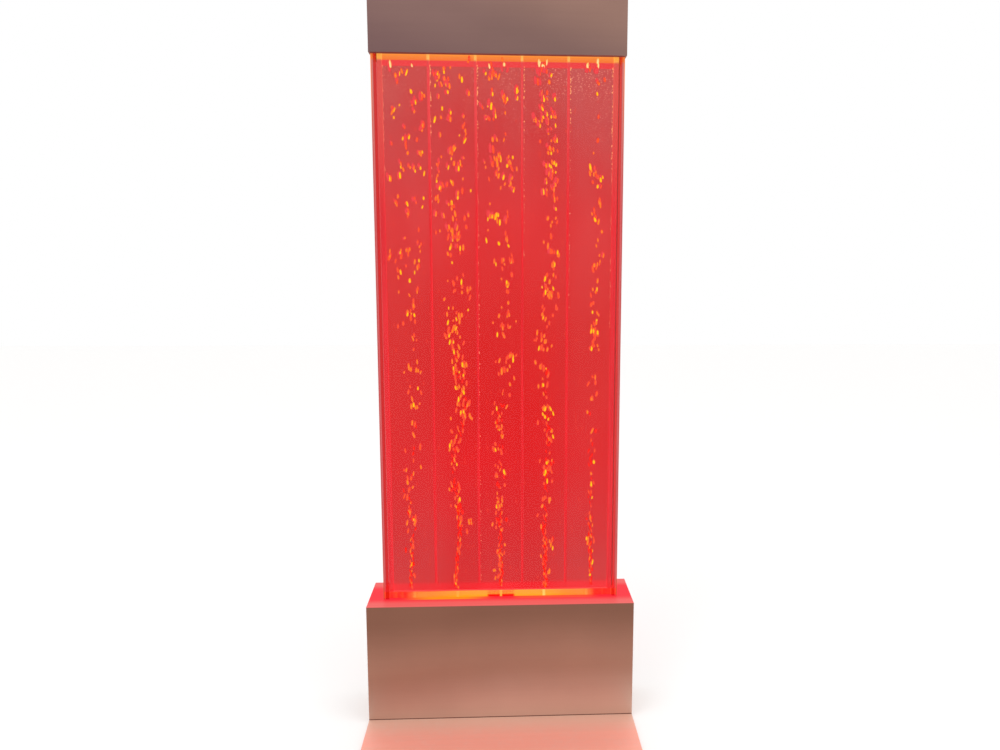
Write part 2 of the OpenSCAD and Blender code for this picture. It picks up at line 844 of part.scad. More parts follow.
// Light bar that lies along the rear half of the top bar and shines down
top_light_y = 2;
top_light_w = 18;
top_light_h = 12;
top_wall = 1.5;
module top_light_channel() {
    y0 = top_light_y;
    y1 = top_light_y + top_light_w;
    high = tank_top + top_light_h;
    color("#c9ccd0") difference() {
        span([-top_light_l / 2, y0, tank_top], [top_light_l / 2, y1, high]);
        span([-top_light_l / 2 - cut, y0 + top_wall, tank_top - cut],
            [top_light_l / 2 + cut, y1 - top_wall, high - top_wall]);
    }
}

top_board_end = 10;
top_lens_t = 2;
module top_light_board() {
    y_mid = top_light_y + top_light_w / 2;
    high = tank_top + top_light_h - top_wall;
    leds = 2 * leds_per_board;
    half_l = top_light_l / 2 - top_board_end;
    pitch = 2 * half_l / leds;
    color("#f0f0ea") {
        span([-half_l, y_mid - board_w / 2, high - board_t], [half_l, y_mid + board_w / 2, high]);
        for (i = [0 : leds - 1])
            translate([(i - (leds - 1) / 2) * pitch - led_side / 2, y_mid - led_side / 2,
                high - board_t - led_t])
                cube([led_side, led_side, led_t]);
    }
}

module top_light_lens() {
    color("#ffb060")
        span([-top_light_l / 2, top_light_y + top_wall, tank_top],
            [top_light_l / 2, top_light_y + top_light_w - top_wall, tank_top + top_lens_t]);
}

// Lead up the right-hand cable channel to the light bar
lead_over = 8;
lead_inset = 12;
lead_turn_z = tank_top + lead_over;
lead_out_x = controller_x + controller_l - lead_inset;
top_lead_y = 14;
tray_lead_y = 30;
module top_light_lead() {
    light_mid = top_light_y + top_light_w / 2;
    color("#e8e8e8")
        bent_tube([[lead_out_x, top_lead_y, plate_top + controller_h],
            [lead_out_x, top_lead_y, plate_top + lead_rise],
            [channel_x, 0, plate_top + lead_to_channel],
            [channel_x, 0, lead_turn_z],
            [top_light_l / 2 + lead_bend, light_mid, lead_turn_z],
            [top_light_l / 2, light_mid, lead_turn_z]],
            lead_r, lead_bend, [0.2, 1, 0.1]);
}

// Square air bar with a barb and a valve seat for each chamber, and an inlet barb below
air_mid_z = (air_bar_top + air_bar_low) / 2;
air_bar_end = 4;
module air_bar() {
    half = air_bar_side / 2;
    color("#c9ccd0") difference() {
        union() {
            span([-air_bar_half, -half, air_bar_low], [air_bar_half, half, air_bar_top]);
            for (i = [0 : chambers - 1])
                translate([chamber_x(i), 0, air_bar_top]) cylinder(r = barb_r, h = barb_l);
            translate([0, 0, air_bar_low - barb_l]) cylinder(r = barb_r, h = barb_l);
        }
        for (i = [0 : chambers - 1]) {
            translate([chamber_x(i), 0, air_mid_z]) cylinder(r = nozzle_bore_r, h = air_bar_side + barb_l);
            translate([chamber_x(i), 0.4, air_mid_z]) rod_y(stem_r + stem_fit, half);
        }
        translate([-air_bar_half + air_bar_end, 0, air_mid_z])
            rod_x(bar_bore_r, 2 * (air_bar_half - air_bar_end));
        translate([0, 0, air_bar_low - barb_l - cut])
            cylinder(r = nipple_bore_r, h = barb_l + half + cut);
    }
}

// Plates that hang the air bar from the rails
module air_bar_brackets() {
    high = base_top - sheet_t - frame_tube;
    reach = rail_y + frame_tube;
    clear = rail_y + 0.5;
    color("#8d9094") both_sides()
        translate([air_bar_half, 0, 0]) rotate([90, 0, 90]) linear_extrude(bracket_t)
            polygon([[-reach, high], [-reach, high - bracket_drop], [-bracket_foot, air_bar_low],
                [bracket_foot, air_bar_low], [reach, high - bracket_drop], [reach, high], [clear, high],
                [clear, tray_low - 0.5], [-clear, tray_low - 0.5], [-clear, high]]);
}

// Needle valve with a fluted knob, number n from the left
module air_valve(n) {
    if (n <= chambers)
        color("#1f5fa8") translate([chamber_x(n - 1), 0, air_mid_z]) {
            translate([0, stem_start, 0]) rod_y(stem_r, air_bar_side / 2 - stem_start + stem_out);
            translate([0, air_bar_side / 2 + stem_out, 0]) difference() {
                rod_y(knob_r, knob_l);
                for (a = [0 : 45 : 315])
                    rotate([0, a, 0]) translate([knob_r + 0.4, -cut, 0]) rod_y(flute_r, knob_l + 2 * cut);
            }
        }
}

// One-way valves that keep the water out of the pump
module check_valves() {
    color("#e9e9e4") for (i = [0 : chambers - 1])
        translate([chamber_x(i), 0, 0]) {
            translate([0, 0, check_low]) cylinder(r = valve_body_r, h = valve_body_h);
            translate([0, 0, check_top]) cylinder(r = barb_r, h = valve_barb_l);
            translate([0, 0, check_low - valve_barb_l]) cylinder(r = barb_r, h = valve_barb_l);
        }
}

// Short soft tube between two heights over the barbs
module riser(low, high) {
    translate([0, 0, low]) difference() {
        cylinder(r = tube_r, h = high - low);
        translate([0, 0, -cut]) cylinder(r = barb_r + tube_fit, h = high - low + 2 * cut);
    }
}

module riser_tubes() {
    color("#f2f2ee") for (i = [0 : chambers - 1])
        translate([chamber_x(i), 0, 0]) {
            riser(check_top + tube_end_gap, nozzle_low - tube_end_gap);
            riser(air_bar_top + tube_end_gap, check_low - tube_end_gap);
        }
}

module air_feed_tube() {
    color("#f2f2ee")
        bent_tube([[pump_right + nipple_l, 0, nipple_z], [0, 0, nipple_z], [0, 0, air_bar_low - barb_l]],
            tube_r, feed_bend, [0, 1, 0]);
}

// Lower half of the pump casing, with the outlet nipple
module pump_base() {
    split_z = pump_low + pump_split_h;
    color("#26282c") difference() {
        union() {
            span([pump_x - pump_l / 2, -pump_w / 2, pump_low], [pump_right, pump_w / 2, split_z]);
            translate([pump_right - pump_wall, 0, nipple_z]) rod_x(nipple_r, nipple_l + pump_wall);
        }
        span([pump_x - pump_l / 2 + pump_wall, -pump_w / 2 + pump_wall, pump_low + pump_wall],
            [pump_right - pump_wall, pump_w / 2 - pump_wall, split_z + cut]);
        translate([pump_right - pump_wall - cut, 0, nipple_z])
            rod_x(nipple_bore_r, nipple_l + pump_wall + 2 * cut);
    }
}

// Upper half with a stepped top
module pump_cover() {
    split_z = pump_low + pump_split_h;
    high = pump_low + pump_h;
    step = pump_step;
    color("#33363b") difference() {
        union() {
            span([pump_x - pump_l / 2, -pump_w / 2, split_z], [pump_right, pump_w / 2, high - step]);
            span([pump_x - pump_l / 2 + step, -pump_w / 2 + step, high - step],
                [pump_right - step, pump_w / 2 - step, high]);
        }
        span([pump_x - pump_l / 2 + pump_wall, -pump_w / 2 + pump_wall, split_z - cut],
            [pump_right - pump_wall, pump_w / 2 - pump_wall, high - step - pump_wall]);
    }
}

module pump_feet() {
    color("#1c1c1c")
        for (x = [-1, 1]) for (y = [-1, 1])
            translate([pump_x + x * (pump_l / 2 - pump_foot_inset), y * (pump_w / 2 - pump_foot_inset),
                plate_top])
                cylinder(r = pump_foot_r, h = pump_foot_h);
}

// Power supply in a slotted case with two fixing tabs
module power_supply() {
    color("#b7babd") difference() {
        union() {
            span([supply_x, -supply_w / 2, plate_top],
                [supply_x + supply_l, supply_w / 2, plate_top + supply_h]);
            span([supply_x + supply_tab_x, -supply_w / 2 - supply_tab_out, plate_top],
                [supply_x + supply_tab_x + supply_tab_w, supply_w / 2 + supply_tab_out,
                plate_top + supply_tab_t]);
        }
        for (i = [0 : supply_slots - 1])
            translate([supply_x + supply_slot_x + i * supply_slot_pitch, -supply_w / 2 + supply_margin,
                plate_top + supply_h - supply_slot_deep])
                cube([supply_slot_w, supply_w - 2 * supply_margin, supply_slot_deep + cut]);
    }
}

module light_controller() {
    color("#ececec") difference() {
        span([controller_x, 0, plate_top],
            [controller_x + controller_l, controller_w, plate_top + controller_h]);
        translate([button_x, controller_w - 2 * button_sunk, button_z])
            rod_y(button_r + button_fit, 2 * button_sunk + cut);
    }
}

// Push button on the controller's back face; it travels along -Y
module mode_button() {
    color("#c33028")
        translate([button_x, controller_w - button_sunk, button_z]) rod_y(button_r, button_sunk + button_l);
}

// Moulded inlet: bezel outside, body inside, socket with three blades below, rocker window above
module power_inlet() {
    body_y = back_y - inlet_deep;
    front_y = back_y + bezel_t;
    color("#1c1c1e") difference() {
        union() {
            span([inlet_x - inlet_w / 2, body_y, inlet_mid - inlet_h / 2],
                [inlet_x + inlet_w / 2, back_y + 0.5, inlet_mid + inlet_h / 2]);
            span([inlet_x - inlet_w / 2 - bezel_over, back_y, inlet_mid - inlet_h / 2 - bezel_over],
                [inlet_x + inlet_w / 2 + bezel_over, front_y, inlet_mid + inlet_h / 2 + bezel_over]);
        }
        span([inlet_x - socket_w / 2, front_y - socket_deep, socket_z - socket_h / 2],
            [inlet_x + socket_w / 2, front_y + cut, socket_z + socket_h / 2]);
        span([inlet_x - rocker_w / 2, front_y - rocker_deep, rocker_z - rocker_h / 2],
            [inlet_x + rocker_w / 2, front_y + cut, rocker_z + rocker_h / 2]);
        translate([inlet_x - rocker_w / 2 - rocker_pin_l - 0.3, rocker_y, rocker_z])
            rod_x(rocker_pin_r + rocker_pin_fit, rocker_w + 2 * rocker_pin_l + 0.6);
    }
    color("#d8d8d8")
        for (p = [[-blade_side, -2], [blade_side, -2], [0, 4]])
            span([inlet_x + p[0] - blade_half_t, front_y - socket_deep - cut, socket_z + p[1] - blade_half_h],
                [inlet_x + p[0] + blade_half_t, front_y - blade_sunk, socket_z + p[1] + blade_half_h]);
}

// Rocker with a shallow V face, drawn level and then tilted to its on position
module rocker_switch() {
    half = rocker_h / 2 - 0.9;
    thick = rocker_w - 2 * rocker_fit;
    color("#e02020")
        translate([inlet_x, rocker_y, rocker_z]) rotate([rocker_tilt, 0, 0]) {
            translate([-thick / 2, 0, 0]) rotate([90, 0, 90]) linear_extrude(thick)
                polygon([[-5, -5], [-5, 5], [1, half], [4.2, half], [2.2, 0], [4.2, -half], [1, -half]]);
            translate([-rocker_w / 2 - rocker_pin_l, 0, 0])
                rod_x(rocker_pin_r, rocker_w + 2 * rocker_pin_l);
        }
}

// Leads inside the base box: inlet to supply, supply to pump, supply to controller, light tray
mains_y = -14;
mains_z = plate_top + 22;
mains_turn_z = plate_top + 40;
mains_far_z = plate_top + 50;
pump_lead_y = 22;
pump_lead_z = pump_low + 8;
supply_lead_y = -8;
supply_lead_z = plate_top + 14;
signal_y = 12;
signal_z = plate_top + 12;
tray_lead_x = tray_half_w + 14;
tray_lead_z = tray_low + 12;
tray_turn_y = 6;
module inner_leads() {
    supply_right = supply_x + supply_l;
    color("#d8d8d8") {
        bent_tube([[inlet_x, back_y - inlet_deep, socket_z],
            [inlet_x, 2 * lead_bend, socket_z],
            [inlet_x, 2 * lead_bend, mains_far_z],
            [supply_right + 3 * lead_bend, mains_y, mains_turn_z],
            [supply_right + lead_bend, mains_y, mains_z],
            [supply_right, mains_y, mains_z]],
            lead_r, lead_bend, [0.3, 1, 0.2]);
        bent_tube([[supply_x, supply_lead_y, supply_lead_z],
            [supply_x - lead_bend, supply_lead_y, supply_lead_z],
            [supply_x - 2.4 * lead_bend, supply_lead_y, plate_top + lead_low],
            [pump_right + 2.6 * lead_bend, pump_lead_y, plate_top + lead_low],
            [pump_right + lead_bend, pump_lead_y, pump_lead_z],
            [pump_right, pump_lead_y, pump_lead_z]],
            lead_r, lead_bend, [0.1, 0.3, 1]);
        bent_tube([[supply_right, signal_y, signal_z],
            [(supply_right + controller_x) / 2, signal_y, signal_z],
            [controller_x, signal_y, signal_z]], lead_r, lead_bend, [0, 1, 0]);
        bent_tube([[lead_out_x, tray_lead_y, plate_top + controller_h],
            [lead_out_x, tray_lead_y, plate_top + lead_rise],
            [tray_lead_x, tray_turn_y, plate_top + lead_to_tray],
            [tray_lead_x, 0, tray_lead_z],
            [tray_half_w, 0, tray_lead_z]],
            lead_r, lead_bend, [0.2, 1, 0.1]);
    }
}

// Brass drain fitting through the bottom bar, flush with the tank's floor
drain_bore_r = 2.6;
module drain_fitting() {
    color("#c9a24a") translate([drain_x, 0, 0]) difference() {
        bar_fitting(0, nozzle_r, barb_l);
        translate([0, 0, nozzle_low - barb_l - cut])
            cylinder(r = drain_bore_r, h = water_low - nozzle_low + barb_l + 2 * cut);
    }
}

tap_inner_y = back_y - sheet_t - tap_tail_l;
module drain_hose() {
    top = nozzle_low - barb_l;
    color("#d8dde0")
        bent_tube([[drain_x, 0, top],
            [drain_x, 0, top - hose_drop],
            [tap_x, hose_y, tap_mid + hose_rise],
            [tap_x, hose_y, tap_mid],
            [tap_x, tap_inner_y, tap_mid]],
            hose_r, hose_bend, [1, 0.1, 0]);
}

// Quarter-turn tap: tail inside, nut and body outside, spout towards the back
module drain_tap() {
    body_y = back_y + tap_nut_t;
    color("#c9a24a") translate([tap_x, 0, tap_mid]) difference() {
        union() {
            translate([0, tap_inner_y, 0]) rod_y(hose_r - 1, tap_tail_l);
            translate([0, back_y - sheet_t - tap_lock_t, 0]) rotate([-90, 0, 0])
                cylinder(r = tap_nut_r, h = tap_lock_t, $fn = 6);
            translate([0, back_y - sheet_t - 0.5, 0]) rod_y(tap_wall_r, sheet_t + 1);
            translate([0, back_y, 0]) rotate([-90, 0, 0]) cylinder(r = tap_nut_r, h = tap_nut_t, $fn = 6);
            translate([0, body_y, 0]) rod_y(tap_r, tap_l);
            translate([0, lever_y, 0]) cylinder(r = spindle_r + 2.5, h = tap_r + tap_neck_h);
            translate([0, body_y + tap_l, 0]) rod_y(spout_r, spout_l);
        }
        translate([0, tap_inner_y - cut, 0])
            rod_y(tap_bore_r, tap_tail_l + sheet_t + tap_nut_t + tap_l + spout_l + 2 * cut);
        translate([0, lever_y, tap_r - 3]) cylinder(r = spindle_r + spindle_fit, h = 8);
    }
}

// Lever on the tap's spindle, across the tap when shut
module drain_lever() {
    low = tap_mid + tap_r - 2;
    high = tap_mid + tap_r + tap_neck_h + lever_gap;
    color("#2f6fb0") {
        translate([tap_x, lever_y, low]) cylinder(r = spindle_r, h = high - low + lever_t);
        translate([tap_x, lever_y, high]) cylinder(r = lever_boss_r, h = lever_t);
        span([tap_x - lever_l, lever_y - lever_w / 2, high], [tap_x, lever_y + lever_w / 2, high + lever_t]);
        translate([tap_x - lever_l, lever_y, high]) cylinder(r = lever_w / 2, h = lever_t);
    }
}

// Open-bottomed box with lips that run up to the tank
module canopy_shell() {
    lip = tank_d / 2 + lip_gap;
    slot_half = canopy_half - sheet_t;
    color("#8a7068") difference() {
        span([-canopy_half, -canopy_d / 2, canopy_low], [canopy_half, canopy_d / 2, canopy_top]);
        span([-canopy_half + sheet_t, -canopy_d / 2 + sheet_t, canopy_low + sheet_t],
            [canopy_half - sheet_t, canopy_d / 2 - sheet_t, canopy_top - sheet_t]);
        span([-slot_half, -lip, canopy_low - cut], [slot_half, lip, canopy_low + sheet_t + cut]);
    }
}

// Two cross tubes inside the canopy, and the soft blocks that stand on the tank's sheets
rest_low = tank_top + rest_block_h;
module canopy_rest_bars() {
    length = canopy_d - 2 * sheet_t;
    color("#8d9094") both_sides()
        translate([rest_bar_x, 0, rest_low]) difference() {
            span([-rest_bar_w / 2, -length / 2, 0], [rest_bar_w / 2, length / 2, rest_bar_h]);
            span([-rest_bar_w / 2 + frame_wall, -length / 2 - cut, frame_wall],
                [rest_bar_w / 2 - frame_wall, length / 2 + cut, rest_bar_h - frame_wall]);
        }
}

module canopy_rest_blocks() {
    color("#3a3a3c") both_sides() front_and_back()
        span([rest_bar_x - rest_bar_w / 2, gap_half + 1, tank_top],
            [rest_bar_x + rest_bar_w / 2, gap_half + wall_t + 2, rest_low]);
}

foot_pads();
floor_plate();
base_shell();
base_screws();
frame_rails();
frame_legs();
hinge_shell_leaves();
hinge_pins();
door_magnet();
light_tray();
light_boards();
light_window();
window_joiner();
tank_bottom_bar();
tank_front_sheet();
tank_rear_sheet();
tank_side_strips();
tank_edge_strips();
tank_dividers();
tank_top_bar();
fill_neck();
tank_bolts();
air_nozzles();
nozzle_washers();
water_fill();
top_light_channel();
top_light_board();
top_light_lens();
top_light_lead();
air_bar();
air_bar_brackets();
check_valves();
riser_tubes();
air_feed_tube();
pump_base();
pump_cover();
pump_feet();
power_supply();
light_controller();
power_inlet();
inner_leads();
drain_fitting();
drain_hose();
drain_tap();
canopy_shell();
canopy_rest_bars();
canopy_rest_blocks();
service_door();
door_hinge_leaves();
door_pull();
door_strike();
fill_cap();
drain_lever();
rocker_switch();
mode_button();
air_valve(1);  // air_valve_1
air_valve(2);  // air_valve_2
air_valve(3);  // air_valve_3
air_valve(4);  // air_valve_4
air_valve(5);  // air_valve_5
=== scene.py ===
"""Looks of the bubble wall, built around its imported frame. Metres, +Z up, viewer on the -Y side."""

import logging
import math
import random
from dataclasses import dataclass, field
from enum import Enum, IntEnum
from typing import ClassVar, NamedTuple

import bpy
from mathutils import Matrix, Vector, noise


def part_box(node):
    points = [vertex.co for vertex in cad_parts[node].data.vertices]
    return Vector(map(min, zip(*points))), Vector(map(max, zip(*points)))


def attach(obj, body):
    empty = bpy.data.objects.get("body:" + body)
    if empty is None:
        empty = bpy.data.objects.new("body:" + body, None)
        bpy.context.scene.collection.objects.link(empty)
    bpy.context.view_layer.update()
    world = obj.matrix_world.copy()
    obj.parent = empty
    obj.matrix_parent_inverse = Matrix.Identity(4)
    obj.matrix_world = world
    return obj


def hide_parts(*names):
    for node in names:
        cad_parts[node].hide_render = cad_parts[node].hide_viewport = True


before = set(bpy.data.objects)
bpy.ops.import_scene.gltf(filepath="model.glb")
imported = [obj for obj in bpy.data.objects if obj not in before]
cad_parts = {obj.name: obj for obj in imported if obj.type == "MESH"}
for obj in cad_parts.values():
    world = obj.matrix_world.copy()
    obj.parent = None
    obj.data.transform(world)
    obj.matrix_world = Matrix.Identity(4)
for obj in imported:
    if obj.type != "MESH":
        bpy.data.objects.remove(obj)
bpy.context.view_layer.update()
LOG = logging.getLogger("bubble_wall")

Point = tuple[float, float, float]
Route = tuple[Point, ...]
Socket = bpy.types.NodeSocket


def colour(code: str) -> tuple[float, float, float, float]:
    """Turns a display colour into the linear colour that sockets take.

    Args:
        code: six hexadecimal digits, such as "ff9a20".

    Returns:
        Red, green, blue and alpha.
    """
    shares = [int(code[i:i + 2], 16) / 255 for i in (0, 2, 4)]
    red, green, blue = [s / 12.92 if s <= 0.04045 else ((s + 0.055) / 1.055) ** 2.4 for s in shares]
    return red, green, blue, 1.0


class Graph:
    """Builds the nodes of one material or one node group."""

    def __init__(self, tree: bpy.types.NodeTree) -> None:
        """Keeps the tree that the nodes go into."""
        self.tree = tree

    def node(self, kind: str, values: dict | None = None, **settings: object) -> bpy.types.Node:
        """Adds a node.

        Args:
            kind: the node's type name.
            values: what goes into each input: a socket to link, or a plain value.
            settings: the node's own properties.

        Returns:
            The new node.
        """
        made = self.tree.nodes.new(kind)
        for name, value in settings.items():
            setattr(made, name, value)
        for name, value in (values or {}).items():
            if isinstance(value, Socket):
                self.tree.links.new(value, made.inputs[name])
            else:
                made.inputs[name].default_value = value
        return made

    def coordinates(self) -> Socket:
        """Gives the position in the part's own frame."""
        return self.node("ShaderNodeTexCoord").outputs["Object"]

    def axis(self, name: str, source: Socket | None = None) -> Socket:
        """Gives one coordinate of a vector, or of the position."""
        return self.node("ShaderNodeSeparateXYZ", {0: source or self.coordinates()}).outputs[name]

    def math(self, operation: str, *values: float | Socket) -> Socket:
        """Gives the result of one sum on numbers."""
        return self.node("ShaderNodeMath", dict(enumerate(values)), operation=operation).outputs[0]

    def between(self, value: Socket, low: float, high: float, to_low: float = 0.0,
                to_high: float = 1.0) -> Socket:
        """Gives a smooth step between two values.

        Args:
            value: the number that is read.
            low: where the step starts.
            high: where it ends.
            to_low: what it gives at the start.
            to_high: what it gives at the end.

        Returns:
            The stepped number.
        """
        values = {"Value": value, "From Min": low, "From Max": high, "To Min": to_low, "To Max": to_high}
        return self.node("ShaderNodeMapRange", values, interpolation_type="SMOOTHSTEP").outputs[0]

    def band(self, value: Socket, edges: tuple[float, float, float, float], peak: float = 1.0) -> Socket:
        """Gives a band with soft edges.

        Args:
            value: the number that is read.
            edges: where the band starts, where it is full, where it begins to fall and where it ends.
            peak: what it gives where it is full.

        Returns:
            The band, 0 on both sides of it.
        """
        start, full, falling, end = edges
        rise = self.between(value, start, full, 0.0, peak)
        return self.math("MULTIPLY", rise, self.between(value, end, falling))

    def mix(self, share: float | Socket, first: object, second: object) -> Socket:
        """Gives a mix of two colours."""
        return self.node("ShaderNodeMix", {0: share, 6: first, 7: second}, data_type="RGBA").outputs[2]

    def scaled(self, tint: Socket, share: Socket) -> Socket:
        """Gives a colour times a number."""
        return self.node("ShaderNodeVectorMath", {0: tint, "Scale": share}, operation="SCALE").outputs[0]

    def blend(self, share: Socket, first: Socket, second: Socket) -> Socket:
        """Gives a mix of two shaders."""
        return self.node("ShaderNodeMixShader", {0: share, 1: first, 2: second}).outputs[0]

    def ramp(self, share: Socket, stops: tuple[tuple[float, str], ...]) -> Socket:
        """Gives a colour that runs through several stops.

        Args:
            share: the place along the ramp, 0 to 1.
            stops: each stop's place and display colour.

        Returns:
            The colour.
        """
        made = self.node("ShaderNodeValToRGB", {0: share})
        elements = made.color_ramp.elements
        while len(elements) < len(stops):
            elements.new(0.5)
        for element, (place, code) in zip(elements, stops):
            element.position = place
            element.color = colour(code)
        return made.outputs[0]

    def noise(self, vector: Socket, scale: float | Socket, detail: float = 2.0,
              roughness: float = 0.5) -> Socket:
        """Gives soft noise from 0 to 1."""
        values = {"Vector": vector, "Scale": scale, "Detail": detail, "Roughness": roughness}
        return self.node("ShaderNodeTexNoise", values).outputs[0]

    def stretched(self, scale: Point, vector: Socket | None = None) -> Socket:
        """Gives the position with each axis scaled."""
        values = {"Vector": vector or self.coordinates(), "Scale": scale}
        return self.node("ShaderNodeMapping", values).outputs[0]

    def bump(self, height: Socket, depth: float, strength: float = 1.0) -> Socket:
        """Gives a normal that follows a height in metres."""
        values = {"Height": height, "Distance": depth, "Strength": strength}
        return self.node("ShaderNodeBump", values).outputs[0]


class Effect(Enum):
    """Surface effects that several finishes share, each a node group."""

    BRUSHING = "brushing"
    GRAIN = "grain"
    DUST = "dust"
    EDGE_WEAR = "edge_wear"


class EffectShelf:
    """Builds each shared effect once and places it in materials."""

    def __init__(self) -> None:
        """Starts with no group built."""
        self.groups: dict[Effect, bpy.types.NodeTree] = {}

    def place(self, graph: Graph, effect: Effect, **values: float) -> bpy.types.Node:
        """Places an effect in a material.

        Args:
            graph: the material's graph.
            effect: which effect.
            values: the material's own values for the group's inputs.

        Returns:
            The group node.
        """
        if effect not in self.groups:
            self.groups[effect] = getattr(self, f"_{effect.value}")()
        made = graph.tree.nodes.new("ShaderNodeGroup")
        made.node_tree = self.groups[effect]
        for name, value in values.items():
            made.inputs[name.capitalize()].default_value = value
        return made

    def _group(self, name: str, inputs: dict[str, float],
               outputs: tuple[str, ...]) -> tuple[Graph, dict[str, Socket], dict[str, Socket]]:
        """Makes an empty group.

        Args:
            name: the group's name.
            inputs: its numbers and what each is unless a material sets it.
            outputs: its numbers out.

        Returns:
            The graph, the inner sockets of the inputs, and those of the outputs.
        """
        tree = bpy.data.node_groups.new(name, "ShaderNodeTree")
        number = "NodeSocketFloat"
        for key, value in inputs.items():
            socket = tree.interface.new_socket(name=key, in_out="INPUT", socket_type=number)
            socket.default_value = value
        for key in outputs:
            tree.interface.new_socket(name=key, in_out="OUTPUT", socket_type=number)
        graph = Graph(tree)
        start = graph.node("NodeGroupInput")
        end = graph.node("NodeGroupOutput")
        return graph, {k: start.outputs[k] for k in inputs}, {k: end.inputs[k] for k in outputs}

    def _brushing(self) -> bpy.types.NodeTree:
        """Builds fine lines, level on walls and sideways on tops, with broader streaks among them.

        Returns:
            The group, whose outputs are Shade and Height.
        """
        inputs = {"Fineness": 1100.0, "Streaks": 90.0}
        graph, given, out = self._group("brushing", inputs, ("Shade", "Height"))
        texture = graph.node("ShaderNodeTexCoord")
        parts = graph.node("ShaderNodeSeparateXYZ", {0: texture.outputs["Object"]}).outputs
        facing_up = graph.math("ABSOLUTE", graph.axis("Z", texture.outputs["Normal"]))
        is_top = graph.between(facing_up, 0.6, 0.8)

        def lines(fineness: Socket, along: float) -> Socket:
            """Gives noise that is stretched along the brushing.

            Args:
                fineness: how close the lines lie.
                along: how short they are.

            Returns:
                The noise, 0 to 1.
            """
            long_x = graph.math("MULTIPLY", parts["X"], along)
            long_y = graph.math("MULTIPLY", parts["Y"], along)
            fine_y = graph.math("MULTIPLY", parts["Y"], fineness)
            fine_z = graph.math("MULTIPLY", parts["Z"], fineness)
            wall = graph.node("ShaderNodeCombineXYZ", {"X": long_x, "Y": long_y, "Z": fine_z}).outputs[0]
            top = graph.node("ShaderNodeCombineXYZ", {"X": long_x, "Y": fine_y, "Z": 0.0}).outputs[0]
            place = graph.node("ShaderNodeMix", {0: is_top, 4: wall, 5: top}, data_type="VECTOR").outputs[1]
            return graph.noise(place, 1.0, 3.0, 0.6)

        fine = lines(given["Fineness"], 9.0)
        broad = lines(given["Streaks"], 1.6)
        shade = graph.math("ADD", graph.math("MULTIPLY", fine, 0.5), graph.math("MULTIPLY", broad, 0.5))
        graph.tree.links.new(shade, out["Shade"])
        graph.tree.links.new(fine, out["Height"])
        return graph.tree

    def _grain(self) -> bpy.types.NodeTree:
        """Builds the small even pits of a mould, and a broad tint that varies slowly.

        Returns:
            The group, whose outputs are Tint and Height.
        """
        graph, given, out = self._group("grain", {"Scale": 1500.0, "Patches": 22.0}, ("Tint", "Height"))
        place = graph.coordinates()
        pits = graph.node("ShaderNodeTexVoronoi", {"Vector": place, "Scale": given["Scale"]})
        graph.tree.links.new(graph.noise(place, given["Patches"]), out["Tint"])
        graph.tree.links.new(pits.outputs["Distance"], out["Height"])
        return graph.tree

    def _dust(self) -> bpy.types.NodeTree:
        """Builds dust that settles unevenly on what faces up.

        Returns:
            The group, whose output is Mask.
        """
        graph, given, out = self._group("dust", {"Amount": 0.3, "Scale": 60.0}, ("Mask",))
        texture = graph.node("ShaderNodeTexCoord")
        up = graph.between(graph.axis("Z", texture.outputs["Normal"]), 0.3, 1.0)
        cloud = graph.between(graph.noise(texture.outputs["Object"], given["Scale"], 6.0, 0.7), 0.4, 0.75)
        mask = graph.math("MULTIPLY", graph.math("MULTIPLY", up, cloud), given["Amount"])
        graph.tree.links.new(mask, out["Mask"])
        return graph.tree

    def _edge_wear(self) -> bpy.types.NodeTree:
        """Builds rubbed outer edges, broken up by noise.

        Returns:
            The group, whose output is Mask.
        """
        graph, given, out = self._group("edge_wear", {"Amount": 0.5, "Scale": 180.0}, ("Mask",))
        edge = graph.between(graph.node("ShaderNodeNewGeometry").outputs["Pointiness"], 0.52, 0.58)
        broken = graph.between(graph.noise(graph.coordinates(), given["Scale"], 5.0), 0.35, 0.6)
        mask = graph.math("MULTIPLY", graph.math("MULTIPLY", edge, broken), given["Amount"])
        graph.tree.links.new(mask, out["Mask"])
        return graph.tree


EFFECTS = EffectShelf()


@dataclass(frozen=True)
class Finish:
    """One finish. A kind that glows isn't sampled as a lamp."""

    name: str
    glows: ClassVar[bool] = False

    def material(self) -> bpy.types.Material:
        """Gives the finish's material, which is built at its first use.

        Returns:
            The material.
        """
        found = bpy.data.materials.get(self.name)
        if found:
            return found
        made = bpy.data.materials.new(self.name)
        made.use_nodes = True
        made.node_tree.nodes.clear()
        graph = Graph(made.node_tree)
        graph.node("ShaderNodeOutputMaterial", {"Surface": self.dress(graph)})
        if self.glows:
            made.cycles.emission_sampling = "NONE"
        return made

    def dress(self, graph: Graph) -> Socket:
        """Builds the nodes and gives the shader that goes to the output."""
        raise NotImplementedError

    def principled(self, graph: Graph, **values: object) -> Socket:
        """Adds the main shader, with words joined by _ for the names of its inputs."""
        named = {k.replace("_", " ").title().replace("Ior", "IOR"): v for k, v in values.items()}
        return graph.node("ShaderNodeBsdfPrincipled", named).outputs[0]


